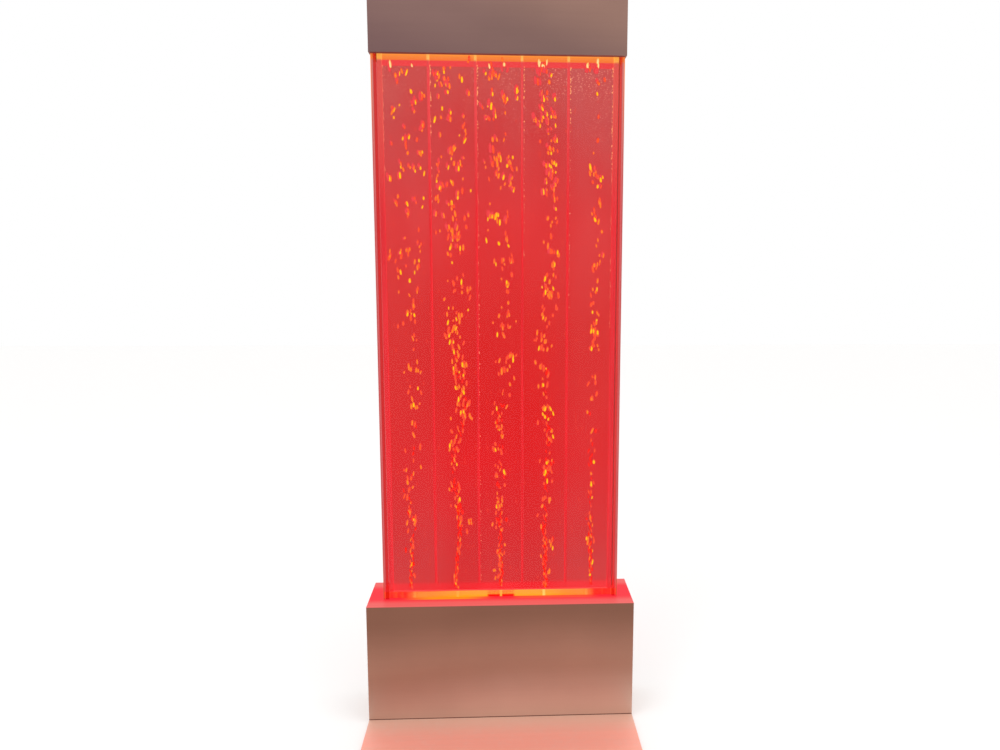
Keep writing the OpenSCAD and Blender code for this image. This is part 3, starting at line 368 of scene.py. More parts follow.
@dataclass(frozen=True)
class BrushedSteel(Finish):
    """Brushed stainless sheet in warm light. Its tint runs by height and to the sides as painted reflection
    and light, its gloss has a painted pink tint of that light, and the panel lights the box's top.

    Attributes:
        low_tint, mid_tint, high_tint: the tint, with painted reflection and light in it, at the heights low,
            halfway and high.
        side_tilt, side_fall: how much the height of that painted light counts as more to the right, and to
            both sides.
        seam_shade_tint, seam_shade_h: the painted shade along the seam at the foot.
        spill_above: the height above which the panel's light lies on the sheet.
        spill_near, spill_far: how far from the panel's middle that light is deep red, and paler.
        mirror_near, mirror_far: how far from there the mirrored window is full, and where it ends.
        mirror_left, mirror_right: where its two halves start, are full, begin to fall and end.
        mirror_right_share: how strong the right half is.
    """

    low_tint: str
    mid_tint: str
    high_tint: str
    low: float
    high: float
    side_tilt: float = 0.0
    side_fall: float = 0.0
    roughness: float = 0.42
    metallic: float = 0.55
    seam_shade_tint: str = "5e3c30"
    seam_shade_h: float = 0.0012
    spill_above: float = 9.0
    spill_near: float = 0.028
    spill_far: float = 0.060
    mirror_near: float = 0.0325
    mirror_far: float = 0.0370
    mirror_left: tuple[float, float, float, float] = (-0.235, -0.15, -0.09, -0.01)
    mirror_right: tuple[float, float, float, float] = (0.02, 0.05, 0.19, 0.23)
    mirror_right_share: float = 0.2

    def dress(self, graph: Graph) -> Socket:
        """Lays brushing, soft smudges, painted shade along the seam at the foot and the panel's light over
        the sheet's tint.

        Args:
            graph: the material's graph.

        Returns:
            The shader.
        """
        place = graph.coordinates()
        height = graph.axis("Z", place)
        brushing = EFFECTS.place(graph, Effect.BRUSHING)
        shade = graph.between(brushing.outputs["Shade"], 0.3, 0.7, 0.975, 1.025)
        smudge = graph.between(graph.noise(place, 5.0, 3.0), 0.3, 0.7, 0.96, 1.04)
        shaded = graph.scaled(self.sheet(graph, place), graph.math("MULTIPLY", shade, smudge))
        # painted shade along the seam where the box meets the floor plate
        seam = graph.between(height, self.low + 2 * self.seam_shade_h, self.low + self.seam_shade_h)
        shaded = graph.mix(seam, shaded, colour(self.seam_shade_tint))
        on_top = graph.between(height, self.spill_above - 0.0006, self.spill_above - 0.0002)
        spill = self.spill(graph, place)
        base = graph.mix(on_top, shaded, graph.mix(0.75, spill, colour("000000")))
        glow = graph.mix(on_top, colour("000000"), spill)
        smoother, rougher = self.roughness - 0.06, self.roughness + 0.06
        rough = graph.between(brushing.outputs["Shade"], 0.2, 0.8, smoother, rougher)
        normal = graph.bump(brushing.outputs["Height"], 0.00012, 0.35)
        # the pink specular tint paints the red light into the steel's reflections
        return self.principled(graph, base_color=base, metallic=self.metallic, roughness=rough,
                               normal=normal, specular_tint=colour("ff9484"), emission_color=glow,
                               emission_strength=0.68)

    def sheet(self, graph: Graph, place: Socket) -> Socket:
        """Runs the tint, with its painted reflection and light, by a height that tilts to one side and falls
        off to both.

        Args:
            graph: the material's graph.
            place: the position in the part's frame.

        Returns:
            The tint.
        """
        across = graph.axis("X", place)
        tilt = graph.math("MULTIPLY", across, self.side_tilt)
        fall = graph.math("MULTIPLY", graph.math("ABSOLUTE", across), self.side_fall)
        height = graph.math("ADD", graph.math("ADD", graph.axis("Z", place), tilt), fall)
        middle = (self.low + self.high) / 2
        lower = graph.between(height, self.low, middle)
        upper = graph.between(height, middle, self.high)
        tint = graph.mix(lower, colour(self.low_tint), colour(self.mid_tint))
        return graph.mix(upper, tint, colour(self.high_tint))

    def spill(self, graph: Graph, place: Socket) -> Socket:
        """Gives the panel's light on the box's top, with the lit window mirrored close to the panel.

        Args:
            graph: the material's graph.
            place: the position in the part's frame.

        Returns:
            The light's colour.
        """
        across = graph.axis("X", place)
        away = graph.math("ABSOLUTE", graph.axis("Y", place))
        paler = graph.between(away, self.spill_near, self.spill_far)
        red = graph.mix(paler, colour("ff3142"), colour("f8706e"))
        left = graph.band(across, self.mirror_left)
        right = graph.band(across, self.mirror_right, self.mirror_right_share)
        close = graph.between(away, self.mirror_far, self.mirror_near)
        mirrored = graph.math("MULTIPLY", graph.math("MAXIMUM", left, right), close)
        return graph.mix(mirrored, red, colour("ffa81c"))


@dataclass(frozen=True)
class FloorPlateSteel(Finish):
    """The brushed floor plate, salmon with the panel's light, paler by the box."""

    near_tint: str = "eabda8"
    far_tint: str = "ffae9b"
    near: float = 0.07
    far: float = 0.17

    def dress(self, graph: Graph) -> Socket:
        """Runs the tint away from the box and adds brushing and dust.

        Args:
            graph: the material's graph.

        Returns:
            The shader.
        """
        away = graph.math("ABSOLUTE", graph.axis("Y"))
        run = graph.between(away, self.near, self.far)
        tint = graph.mix(run, colour(self.near_tint), colour(self.far_tint))
        brushing = EFFECTS.place(graph, Effect.BRUSHING)
        base = graph.scaled(tint, graph.between(brushing.outputs["Shade"], 0.3, 0.7, 0.975, 1.025))
        dust = EFFECTS.place(graph, Effect.DUST, amount=0.12)
        base = graph.mix(dust.outputs["Mask"], base, colour("e8d8d0"))
        rough = graph.between(brushing.outputs["Shade"], 0.2, 0.8, 0.4, 0.52)
        normal = graph.bump(brushing.outputs["Height"], 0.0001, 0.3)
        return self.principled(graph, base_color=base, metallic=0.3, roughness=rough, normal=normal)


@dataclass(frozen=True)
class Metal(Finish):
    """Turned, drawn or extruded metal with fine lines along one axis."""

    tint: str
    roughness: float = 0.3
    lines: Point = (40.0, 40.0, 1500.0)

    def dress(self, graph: Graph) -> Socket:
        """Lays fine lines, slight stains and rubbed edges over the metal.

        Args:
            graph: the material's graph.

        Returns:
            The shader.
        """
        clean = colour(self.tint)
        fine = graph.noise(graph.stretched(self.lines), 1.0, 3.0)
        stain = graph.between(graph.noise(graph.coordinates(), 70.0, 4.0), 0.35, 0.75, 0.0, 0.25)
        base = graph.mix(stain, clean, graph.mix(0.5, clean, colour("4a4540")))
        wear = EFFECTS.place(graph, Effect.EDGE_WEAR, amount=0.5)
        base = graph.mix(wear.outputs["Mask"], base, colour("f2efe8"))
        rough = graph.between(fine, 0.2, 0.8, self.roughness - 0.06, self.roughness + 0.1)
        normal = graph.bump(fine, 0.00008, 0.4)
        return self.principled(graph, base_color=base, metallic=1.0, roughness=rough, normal=normal)


@dataclass(frozen=True)
class PaintedSteel(Finish):
    """Grey primer with orange peel and bare edges."""

    tint: str = "6c7075"
    shade_tint: str = "55585c"

    def dress(self, graph: Graph) -> Socket:
        """Mixes paint and bare metal by the worn edges, under dust.

        Args:
            graph: the material's graph.

        Returns:
            The shader.
        """
        grain = EFFECTS.place(graph, Effect.GRAIN, scale=420.0)
        wear = EFFECTS.place(graph, Effect.EDGE_WEAR, amount=0.7).outputs["Mask"]
        dust = EFFECTS.place(graph, Effect.DUST, amount=0.3).outputs["Mask"]
        cloud = graph.between(grain.outputs["Tint"], 0.3, 0.7, 0.0, 0.3)
        paint = graph.mix(cloud, colour(self.tint), colour(self.shade_tint))
        base = graph.mix(dust, graph.mix(wear, paint, colour("b8b4ac")), colour("a59f95"))
        rough = graph.between(grain.outputs["Tint"], 0.3, 0.7, 0.42, 0.55)
        normal = graph.bump(grain.outputs["Height"], 0.0002, 0.3)
        return self.principled(graph, base_color=base, metallic=wear, roughness=rough, normal=normal)


@dataclass(frozen=True)
class Moulded(Finish):
    """Moulded plastic or rubber, which may have a second, lit tint above a height."""

    tint: str
    roughness: float = 0.5
    pit_scale: float = 1500.0
    dust: float = 0.25
    second_tint: str = ""
    second_above: float = 9.0
    second_glow: float = 0.0

    def dress(self, graph: Graph) -> Socket:
        """Lays the mould's grain, rubbed edges and dust over the colour.

        Args:
            graph: the material's graph.

        Returns:
            The shader.
        """
        clean = colour(self.tint)
        grain = EFFECTS.place(graph, Effect.GRAIN, scale=self.pit_scale)
        wear = EFFECTS.place(graph, Effect.EDGE_WEAR, amount=0.35).outputs["Mask"]
        dust = EFFECTS.place(graph, Effect.DUST, amount=self.dust).outputs["Mask"]
        cloud = graph.between(grain.outputs["Tint"], 0.3, 0.7)
        base = graph.mix(cloud, clean, graph.mix(0.12, clean, colour("000000")))
        base = graph.mix(wear, base, graph.mix(0.3, clean, colour("ffffff")))
        base = graph.mix(dust, base, colour("9d968c"))
        rough = graph.between(grain.outputs["Tint"], 0.3, 0.7, self.roughness - 0.05, self.roughness + 0.07)
        normal = graph.bump(grain.outputs["Height"], 0.00015, 0.3)
        light = {}
        if self.second_tint:
            second = colour(self.second_tint)
            above = graph.between(graph.axis("Z"), self.second_above, self.second_above + 0.0001)
            base = graph.mix(above, base, second)
            light["emission_color"] = graph.mix(above, colour("000000"), second)
            light["emission_strength"] = self.second_glow
        return self.principled(graph, base_color=base, roughness=rough, normal=normal, **light)


@dataclass(frozen=True)
class ClearSheet(Finish):
    """Polished cast acrylic: clear over the chambers, tinted by the light that runs in its edges.

    Attributes:
        channel_inner, channel_outer: where the narrow channel beside the side strip starts and ends.
        half_width: half the sheet's width.
        upper_lit, lower_lit: the heights between which each light fades in on the rim.
        rim_share, lower_share: how strong the rim is, and the lower light on it.
    """

    channel_inner: float
    channel_outer: float
    half_width: float
    clear_tint: str = "fffafa"
    channel_tint: str = "eda2a2"
    far_channel_tint: str = "f4b6b4"
    rim_tint: str = "ff8a4a"
    dim_rim_tint: str = "c23c34"
    rim_share: float = 0.75
    upper_lit: tuple[float, float] = (1.25, 1.46)
    lower_lit: tuple[float, float] = (0.42, 0.28)
    lower_share: float = 0.25

    def dress(self, graph: Graph) -> Socket:
        """Mixes clear sheet, the tinted strip over each channel, the glowing rim and surface gloss.

        Args:
            graph: the material's graph.

        Returns:
            The shader.
        """
        across = graph.axis("X")
        aside = graph.math("ABSOLUTE", across)
        from_left = graph.between(across, -0.2, 0.2)
        channel = graph.mix(from_left, colour(self.channel_tint), colour(self.far_channel_tint))
        over_channel = graph.band(aside, (self.channel_inner - 0.0005, self.channel_inner + 0.0003,
                                          self.channel_outer - 0.0003, self.channel_outer + 0.0005))
        tint = graph.mix(over_channel, colour(self.clear_tint), channel)
        clear = graph.node("ShaderNodeBsdfTransparent", {"Color": tint}).outputs[0]
        rim = graph.node("ShaderNodeEmission", {"Color": self.rim(graph), "Strength": 1.0}).outputs[0]
        at_rim = graph.between(aside, self.half_width - 0.0022, self.half_width - 0.0008)
        body = graph.blend(graph.math("MULTIPLY", at_rim, self.rim_share), clear, rim)
        smears = graph.noise(graph.stretched((14.0, 14.0, 5.0)), 1.0, 5.0, 0.65)
        rough = graph.between(smears, 0.35, 0.75, 0.03, 0.12)
        values = {"Color": colour("f4ecea"), "Roughness": rough}
        gloss = graph.node("ShaderNodeBsdfGlossy", values).outputs[0]
        facing = graph.node("ShaderNodeLayerWeight", {"Blend": 0.2}).outputs["Fresnel"]
        front = graph.math("SUBTRACT", 1.0, graph.node("ShaderNodeNewGeometry").outputs["Backfacing"])
        share = graph.math("MULTIPLY", graph.math("MULTIPLY", facing, front), 0.6)
        return graph.blend(share, body, gloss)

    def rim(self, graph: Graph) -> Socket:
        """Gives the rim's colour, orange near the upper light, a little so near the lower one.

        Args:
            graph: the material's graph.

        Returns:
            The colour.
        """
        height = graph.axis("Z")
        top = graph.between(height, *self.upper_lit)
        low = graph.between(height, *self.lower_lit)
        lit = graph.math("MAXIMUM", top, graph.math("MULTIPLY", low, self.lower_share))
        return graph.mix(lit, colour(self.dim_rim_tint), colour(self.rim_tint))


@dataclass(frozen=True)
class LitAcrylic(Finish):
    """Cast acrylic that carries the light; its glow is painted light, with another tint near the upper light
    and at the foot.
    """

    body_tint: str = "ee3038"
    upper_tint: str = ""
    top_tint: str = "ffb04a"
    foot_tint: str = "ff2a2c"
    upper_from: float = 1.10
    upper_to: float = 1.42
    top_from: float = 1.453
    top_to: float = 1.459
    foot_from: float = 0.33
    foot_to: float = 0.27
    streaks: Point = (260.0, 260.0, 4.0)
    glows: ClassVar[bool] = True

    def dress(self, graph: Graph) -> Socket:
        """Lays upright streaks over the glow and runs it by height.

        Args:
            graph: the material's graph.

        Returns:
            The shader.
        """
        height = graph.axis("Z")
        streak = graph.noise(graph.stretched(self.streaks), 1.0, 3.0, 0.6)
        deep = graph.mix(0.3, colour(self.body_tint), colour("a01018"))
        glow = graph.mix(graph.between(streak, 0.3, 0.7), deep, colour(self.body_tint))
        if self.upper_tint:
            upper = graph.between(height, self.upper_from, self.upper_to)
            glow = graph.mix(upper, glow, colour(self.upper_tint))
        top = graph.between(height, self.top_from, self.top_to)
        foot = graph.between(height, self.foot_from, self.foot_to)
        glow = graph.mix(foot, graph.mix(top, glow, colour(self.top_tint)), colour(self.foot_tint))
        return self.principled(graph, base_color=colour("3a0608"), roughness=0.2, specular_ior_level=0.12,
                               emission_color=glow, emission_strength=0.95)


@dataclass(frozen=True)
class LitBar(Finish):
    """The tank's bottom bar over the light window: orange, red beyond the window's ends and on its top.

    Attributes:
        window_half, joiner_half: half the widths of the window and its joiner.
        low, high: the heights of the bar's foot and top.
        pitch: how far apart the nozzles stand.
        red_slope: how steeply the red over the orange comes down to the left.
        glint_inner, glint_outer: how far from a nozzle its glint is full, and where it ends.
        dash_gap, dash_h: how far the joiner's dashes of painted shade stay from the middle, and how high
            they are.
    """

    window_half: float
    low: float
    high: float
    pitch: float
    joiner_half: float
    red_slope: float = 0.020
    glint_inner: float = 0.0012
    glint_outer: float = 0.0050
    dash_gap: float = 0.0016
    dash_h: float = 0.0064
    glows: ClassVar[bool] = True

    def dress(self, graph: Graph) -> Socket:
        """Lays the window's orange light, the red light past its ends, the joiner's two dashes of painted
        shade and the red light on the top.

        Args:
            graph: the material's graph.

        Returns:
            The shader.
        """
        place = graph.coordinates()
        across, height = graph.axis("X", place), graph.axis("Z", place)
        aside = graph.math("ABSOLUTE", across)
        bands = graph.noise(graph.stretched((110.0, 110.0, 3.0)), 1.0, 2.0)
        red = graph.mix(graph.between(bands, 0.38, 0.62), colour("ff2c22"), colour("ff4e2c"))
        outside = graph.between(aside, self.window_half - 0.026, self.window_half + 0.004)
        face = graph.mix(outside, self.over_window(graph, across, height), red)
        # the joiner's two dashes: painted shade where it covers the window's orange light
        dash = graph.band(aside, (self.dash_gap, self.dash_gap + 0.0020,
                                  self.joiner_half - 0.004, self.joiner_half + 0.003))
        low_down = graph.between(height, self.low + self.dash_h, self.low + self.dash_h - 0.0024)
        face = graph.mix(graph.math("MULTIPLY", dash, low_down), face, colour("f61002"))
        on_top = graph.between(height, self.high - 0.0003, self.high - 0.0001)
        glow = graph.mix(on_top, face, colour("ff4a48"))
        return self.principled(graph, base_color=colour("401008"), roughness=0.2, specular_ior_level=0.15,
                               emission_color=glow, emission_strength=1.0)

    def over_window(self, graph: Graph, across: Socket, height: Socket) -> Socket:
        """Gives the orange over the window, redder up its left end, with a glint over each nozzle.

        Args:
            graph: the material's graph.
            across: the place from left to right.
            height: the height.

        Returns:
            The colour.
        """
        aside = graph.math("ABSOLUTE", across)
        orange = graph.mix(graph.between(height, self.low, self.high), colour("ffa414"), colour("ffa048"))
        orange = graph.mix(graph.between(aside, 0.08, self.window_half), orange, colour("ff7c36"))
        flicker = graph.between(graph.noise(graph.stretched((9.0, 9.0, 30.0)), 1.0), 0.3, 0.7, 0.0, 0.35)
        orange = graph.mix(flicker, orange, colour("ffb63a"))
        to_left = graph.math("MULTIPLY", graph.math("MINIMUM", across, 0.0), -self.red_slope)
        upper = graph.between(graph.math("ADD", height, to_left), self.high + 0.0004, self.high + 0.0026)
        orange = graph.mix(graph.math("MULTIPLY", upper, 0.85), orange, colour("ff4632"))
        from_nozzle = graph.math("PINGPONG", across, self.pitch / 2)
        from_fourth = graph.math("ABSOLUTE", graph.math("SUBTRACT", across, self.pitch))
        glint = graph.math("MULTIPLY", graph.between(from_nozzle, self.glint_outer, self.glint_inner),
                           graph.between(from_fourth, 0.03, 0.01, 0.2, 0.75))
        return graph.mix(glint, orange, colour("ffe27a"))


@dataclass(frozen=True)
class WaterGlow(Finish):
    """Water lit red by both lights, greyer high up and to the sides, orange under the upper light.

    Attributes:
        low, high: the heights of the water's foot and top.
        band_low, band_run: where the orange band starts, and how fast it brightens.
        line_below: how far under the band the paler red starts, and is full.
        grey_aside, grey_share: how far aside the glow turns greyer, and how much.
        pale_right, pale_high, pale_share: where on the right and how high it turns paler, and how much.
        haze_high, haze_right: from where to where the haze of tiny bubbles thickens.
        stops: the glow by height, as a share of the water's.
    """

    low: float
    high: float
    band_low: float = 1.4565
    band_run: float = 0.016
    line_below: tuple[float, float] = (0.013, 0.011)
    grey_aside: tuple[float, float] = (0.08, 0.19)
    grey_share: float = 0.065
    pale_right: tuple[float, float] = (0.13, 0.17)
    pale_high: tuple[float, float] = (1.15, 1.38)
    pale_share: float = 0.07
    haze_high: tuple[float, float] = (1.22, 1.44)
    haze_right: tuple[float, float] = (-0.12, 0.12)
    stops: tuple[tuple[float, str], ...] = (
        (0.0, "fb2a32"), (0.011, "fb2a32"), (0.017, "da3335"), (0.055, "d43134"), (0.10, "d72c30"),
        (0.17, "de252a"), (0.26, "e31a20"), (0.36, "de1c1e"), (0.52, "da2625"), (0.70, "df3637"),
        (0.88, "ca4343"), (0.965, "c9524e"))
    glows: ClassVar[bool] = True

    def dress(self, graph: Graph) -> Socket:
        """Lays blooms, the haze of tiny bubbles and the band under the upper light over the glow.

        Args:
            graph: the material's graph.

        Returns:
            The shader.
        """
        place = graph.coordinates()
        across, height = graph.axis("X", place), graph.axis("Z", place)
        glow = self.by_place(graph, across, height)
        bloom = graph.noise(graph.stretched((9.0, 9.0, 4.5)), 1.0, 2.0, 0.45)
        glow = graph.mix(graph.between(bloom, 0.35, 0.7, 0.0, 0.3), glow, colour("d41a1e"))
        ghost = graph.noise(graph.stretched((120.0, 120.0, 55.0)), 1.0, 2.0, 0.5)
        glow = graph.mix(graph.between(ghost, 0.6, 0.78, 0.0, 0.3), glow, colour("ff4a34"))
        speck = graph.node("ShaderNodeTexVoronoi", {"Vector": place, "Scale": 270.0}).outputs["Distance"]
        cloud = graph.between(graph.noise(graph.stretched((12.0, 12.0, 7.0)), 1.0, 2.0), 0.4, 0.6, 0.15, 0.9)
        cloud = graph.math("MULTIPLY", cloud, graph.between(across, *self.haze_right, 0.5, 1.0))
        haze = graph.math("MULTIPLY", graph.between(speck, 0.3, 0.14),
                          graph.between(height, *self.haze_high))
        glow = graph.mix(graph.math("MULTIPLY", haze, cloud), glow, colour("ffb49c"))
        line_low, line_full = (self.band_low - below for below in self.line_below)
        red_line = graph.between(height, line_low, line_full)
        glow = graph.mix(red_line, glow, colour("f04648"))
        up_band = graph.between(height, self.band_low, self.band_low + self.band_run)
        orange = graph.mix(up_band, colour("f98038"), colour("ffa246"))
        in_band = graph.between(height, self.band_low - 0.001, self.band_low + 0.001)
        glow = graph.mix(in_band, glow, orange)
        return self.principled(graph, base_color=colour("300404"), roughness=0.4, specular_ior_level=0.08,
                               emission_color=glow, emission_strength=0.97)

    def by_place(self, graph: Graph, across: Socket, height: Socket) -> Socket:
        """Runs the glow by height, greyer in the outer chambers and high up on the right.

        Args:
            graph: the material's graph.
            across: the place from left to right.
            height: the height.

        Returns:
            The colour.
        """
        values = {"Value": height, "From Min": self.low, "From Max": self.high}
        glow = graph.ramp(graph.node("ShaderNodeMapRange", values).outputs[0], self.stops)
        aside = graph.math("ABSOLUTE", across)
        greyer = graph.between(aside, *self.grey_aside, 0.0, self.grey_share)
        glow = graph.mix(greyer, glow, colour("8b8986"))
        high = graph.between(height, *self.pale_high, 0.0, self.pale_share)
        paler = graph.math("MULTIPLY", graph.between(across, *self.pale_right), high)
        return graph.mix(paler, glow, colour("b0b0ae"))


@dataclass(frozen=True)
class BubbleSkin(Finish):
    """A bubble that catches the amber light: brightest at its middle, red at its rim."""

    bright: str
    middle: str
    deep: str
    glows: ClassVar[bool] = True

    def dress(self, graph: Graph) -> Socket:
        """Runs the light from the middle of each bubble to its rim, brighter towards its foot.

        Args:
            graph: the material's graph.

        Returns:
            The shader.
        """
        normal = graph.node("ShaderNodeTexCoord").outputs["Normal"]
        facing = graph.math("ABSOLUTE", graph.axis("Y", normal))
        to_foot = graph.math("SUBTRACT", facing, graph.math("MULTIPLY", graph.axis("Z", normal), 0.2))
        vary = graph.noise(graph.stretched((160.0, 160.0, 240.0)), 1.0, 1.0)
        core = graph.math("ADD", to_foot, graph.math("MULTIPLY", vary, 0.3))
        glow = graph.mix(graph.between(facing, 0.3, 0.72), colour(self.deep), colour(self.middle))
        glow = graph.mix(graph.between(core, 0.92, 1.1), glow, colour(self.bright))
        return self.principled(graph, base_color=colour("200a04"), roughness=0.3, specular_ior_level=0.1,
                               emission_color=glow, emission_strength=1.0)


@dataclass(frozen=True)
class SoftVinyl(Finish):
    """Clear soft tube, slightly milky."""

    tint: str = "e6ecee"
    milky_tint: str = "c8d0d4"
    alpha: float = 0.55

    def dress(self, graph: Graph) -> Socket:
        """Clouds the tube and lets part of it show through.

        Args:
            graph: the material's graph.

        Returns:
            The shader.
        """
        cloud = graph.noise(graph.coordinates(), 120.0, 3.0)
        share = graph.between(cloud, 0.3, 0.7, self.alpha - 0.08, self.alpha + 0.1)
        base = graph.mix(graph.between(cloud, 0.3, 0.7), colour(self.tint), colour(self.milky_tint))
        rough = graph.between(cloud, 0.3, 0.7, 0.18, 0.3)
        return self.principled(graph, base_color=base, roughness=rough, alpha=share)


@dataclass(frozen=True)
class PlainStage(Finish):
    """The studio's pale floor, as bright as the studio around it."""

    tint: str = "e6e5e4"
    lift: float = 0.2

    def dress(self, graph: Graph) -> Socket:
        """Gives a matt floor that is lifted by a little light of its own."""
        return self.principled(graph, base_color=colour(self.tint), roughness=0.9, specular_ior_level=0.1,
                               emission_color=colour("ffffff"), emission_strength=self.lift)


@dataclass
class MeshBatch:
    """Collects the vertices and faces of one piece that is made of many like forms."""

    points: list = field(default_factory=list)
    faces: list = field(default_factory=list)

    def block(self, low: Point, high: Point) -> None:
        """Adds a closed block.

        Args:
            low: its corner with the smallest coordinates.
            high: its corner with the largest.
        """
        start = len(self.points)
        for z in (low[2], high[2]):
            for x, y in ((low[0], low[1]), (high[0], low[1]), (high[0], high[1]), (low[0], high[1])):
                self.points.append((x, y, z))
        self.faces.append([start + k for k in (3, 2, 1, 0)])
        self.faces.append([start + k for k in (4, 5, 6, 7)])
        for k in range(4):
            other = (k + 1) % 4
            self.faces.append([start + k, start + other, start + 4 + other, start + 4 + k])

    def plate(self, outline: list[tuple[float, float]], front: float, rear: float) -> None:
        """Adds a flat plate that stands across X.

        Args:
            outline: its corners in X and Z, anticlockwise from the front.
            front: where its front face is.
            rear: where its rear face is.
        """
        start, count = len(self.points), len(outline)
        self.points += [(x, y, z) for y in (front, rear) for x, z in outline]
        self.faces.append([start + k for k in range(count)])
        self.faces.append([start + count + k for k in reversed(range(count))])
        for k in range(count):
            other = (k + 1) % count
            self.faces.append([start + other, start + k, start + count + k, start + count + other])

    def bubble(self, centre: Point, radius: float, stretch: float, lean: float, wobble: float, depth: float,
               around: int = 8, rings: int = 6) -> None:
        """Adds a rising bubble: an upright drop whose underside is flatter than its crown.

        Args:
            centre: its middle.
            radius: its half width.
            stretch: how many times taller than wide it is.
            lean: its tilt to the side, in radians.
            wobble: how far its skin is out of round, as a share.
            depth: its half depth from front to back.
            around: faces around it.
            rings: faces from foot to crown.
        """
        start = len(self.points)
        turn = Matrix.Rotation(lean, 3, "Y")
        middle = Vector(centre)
        for ring in range(rings + 1):
            angle = math.pi * ring / rings
            height = -math.cos(angle) * stretch * (0.82 if ring < rings / 2 else 1.0)
            girth = math.sin(angle) * (1 + wobble * math.sin(3 * angle))
            for step in range(around if 0 < ring < rings else 1):
                turned = 2 * math.pi * step / around
                bulge = girth * (1 + wobble * math.cos(2 * turned + 5 * lean))
                aside, away = bulge * math.cos(turned) * radius, bulge * math.sin(turned) * depth
                self.points.append(tuple(middle + turn @ Vector((aside, away, height * radius))))
        last = len(self.points) - 1
        for step in range(around):
            other = (step + 1) % around
            self.faces.append([start, start + 1 + other, start + 1 + step])
            self.faces.append([last, last - around + step, last - around + other])
            for ring in range(rings - 2):
                row = start + 1 + ring * around
                self.faces.append([row + step, row + other, row + around + other, row + around + step])

    def tube(self, route: list[Vector], radius: float, sides: int = 14) -> None:
        """Adds a solid round tube along a route, with square ends.

        Args:
            route: points close enough together to look smooth.
            radius: the tube's radius.
            sides: faces around it.
        """
        start = len(self.points)
        before, after = [route[0]] + route[:-1], route[1:] + [route[-1]]
        headings = [(there - here).normalized() for here, there in zip(before, after)]
        aside = headings[0].orthogonal().normalized()
        for point, heading in zip(route, headings):
            aside = (aside - heading * aside.dot(heading)).normalized()
            across = heading.cross(aside)
            for k in range(sides):
                turned = 2 * math.pi * k / sides
                out = aside * math.cos(turned) + across * math.sin(turned)
                self.points.append(tuple(point + out * radius))
        for i in range(len(route) - 1):
            row = start + i * sides
            for k in range(sides):
                other = (k + 1) % sides
                self.faces.append([row + k, row + other, row + sides + other, row + sides + k])
        end = start + (len(route) - 1) * sides
        self.faces.append([start + k for k in reversed(range(sides))])
        self.faces.append([end + k for k in range(sides)])


def rounded_route(corners: Route, bend: float, steps: int = 8) -> list[Vector]:
    """Rounds the corners of a route.

    Args:
        corners: the route's points in metres, as the part's source gives them.
        bend: how far from a corner its curve starts.
        steps: points on each curve.

    Returns:
        The points of the smooth route.
    """
    points = [Vector(c) for c in corners]
    route = [points[0]]
    for before, corner, after in zip(points, points[1:], points[2:]):
        entry = corner + (before - corner).normalized() * min(bend, (before - corner).length * 0.49)
        leave = corner + (after - corner).normalized() * min(bend, (after - corner).length * 0.49)
        for k in range(steps + 1):
            t = k / steps
            route.append(entry * (1 - t) ** 2 + corner * 2 * t * (1 - t) + leave * t ** 2)
    return route + [points[-1]]


class Dresser:
    """Puts finishes and soft edges on CAD nodes and adds new pieces to bodies."""

    def node(self, name: str, finish: Finish, slot: str = "", round_edge: float = 0.0) -> None:
        """Dresses a CAD node.

        Args:
            name: the node.
            finish: its finish.
            slot: the record's material slot, if it isn't the node's own; it is not used.
            round_edge: the radius that its folded or moulded edges show, or 0.
        """
        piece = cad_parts[name]
        piece.data.materials.clear()
        piece.data.materials.append(finish.material())
        if round_edge:
            self.soften(piece, round_edge)
        LOG.info("dressed %s with %s", name, finish.name)

    def soften(self, piece: bpy.types.Object, radius: float) -> None:
        """Rounds a piece's edges.

        Args:
            piece: the piece.
            radius: how wide the rounding is, in metres.
        """
        weld = piece.modifiers.new("weld", "WELD")
        weld.merge_threshold = 0.00001
        flat = piece.modifiers.new("flat_faces", "DECIMATE")
        flat.decimate_type = "DISSOLVE"
        flat.angle_limit = math.radians(0.5)
        bevel = piece.modifiers.new("round_edges", "BEVEL")
        bevel.width = radius
        bevel.segments = 3
        bevel.limit_method = "ANGLE"
        bevel.angle_limit = math.radians(40)
        bevel.harden_normals = True

    def piece(self, name: str, batch: MeshBatch, finish: Finish, body: str = "base", slot: str = "",
              smooth: bool = True) -> bpy.types.Object:
        """Adds a new mesh piece that rides on a body.

        Args:
            name: the piece's name.
            batch: its vertices and faces, in the part's frame.
            finish: its finish.
            body: the CAD body it moves with.
            slot: the record's material slot; it is not used.
            smooth: whether its faces are shaded smooth.

        Returns:
            The new object.
        """
        mesh = bpy.data.meshes.new(name)
        mesh.from_pydata(batch.points, [], batch.faces)
        mesh.materials.append(finish.material())
        if smooth:
            mesh.shade_smooth()
        made = bpy.data.objects.new(name, mesh)
        bpy.context.scene.collection.objects.link(made)
        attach(made, body)
        LOG.info("made %s, %d faces, on %s", name, len(batch.faces), body)
        return made


DRESSER = Dresser()


class Side(IntEnum):
    """A side of the water, as the sign of its Y."""

    FRONT = -1
    REAR = 1


class BubbleKind(Enum):
    """How a bubble is lit, from dim to bright, with rose for the dim mark of painted light beside a lit one.
    """

    RED = "red"
    EMBER = "ember"
    ORANGE = "orange"
    YELLOW = "yellow"
    CREAM = "cream"
    ROSE = "rose"


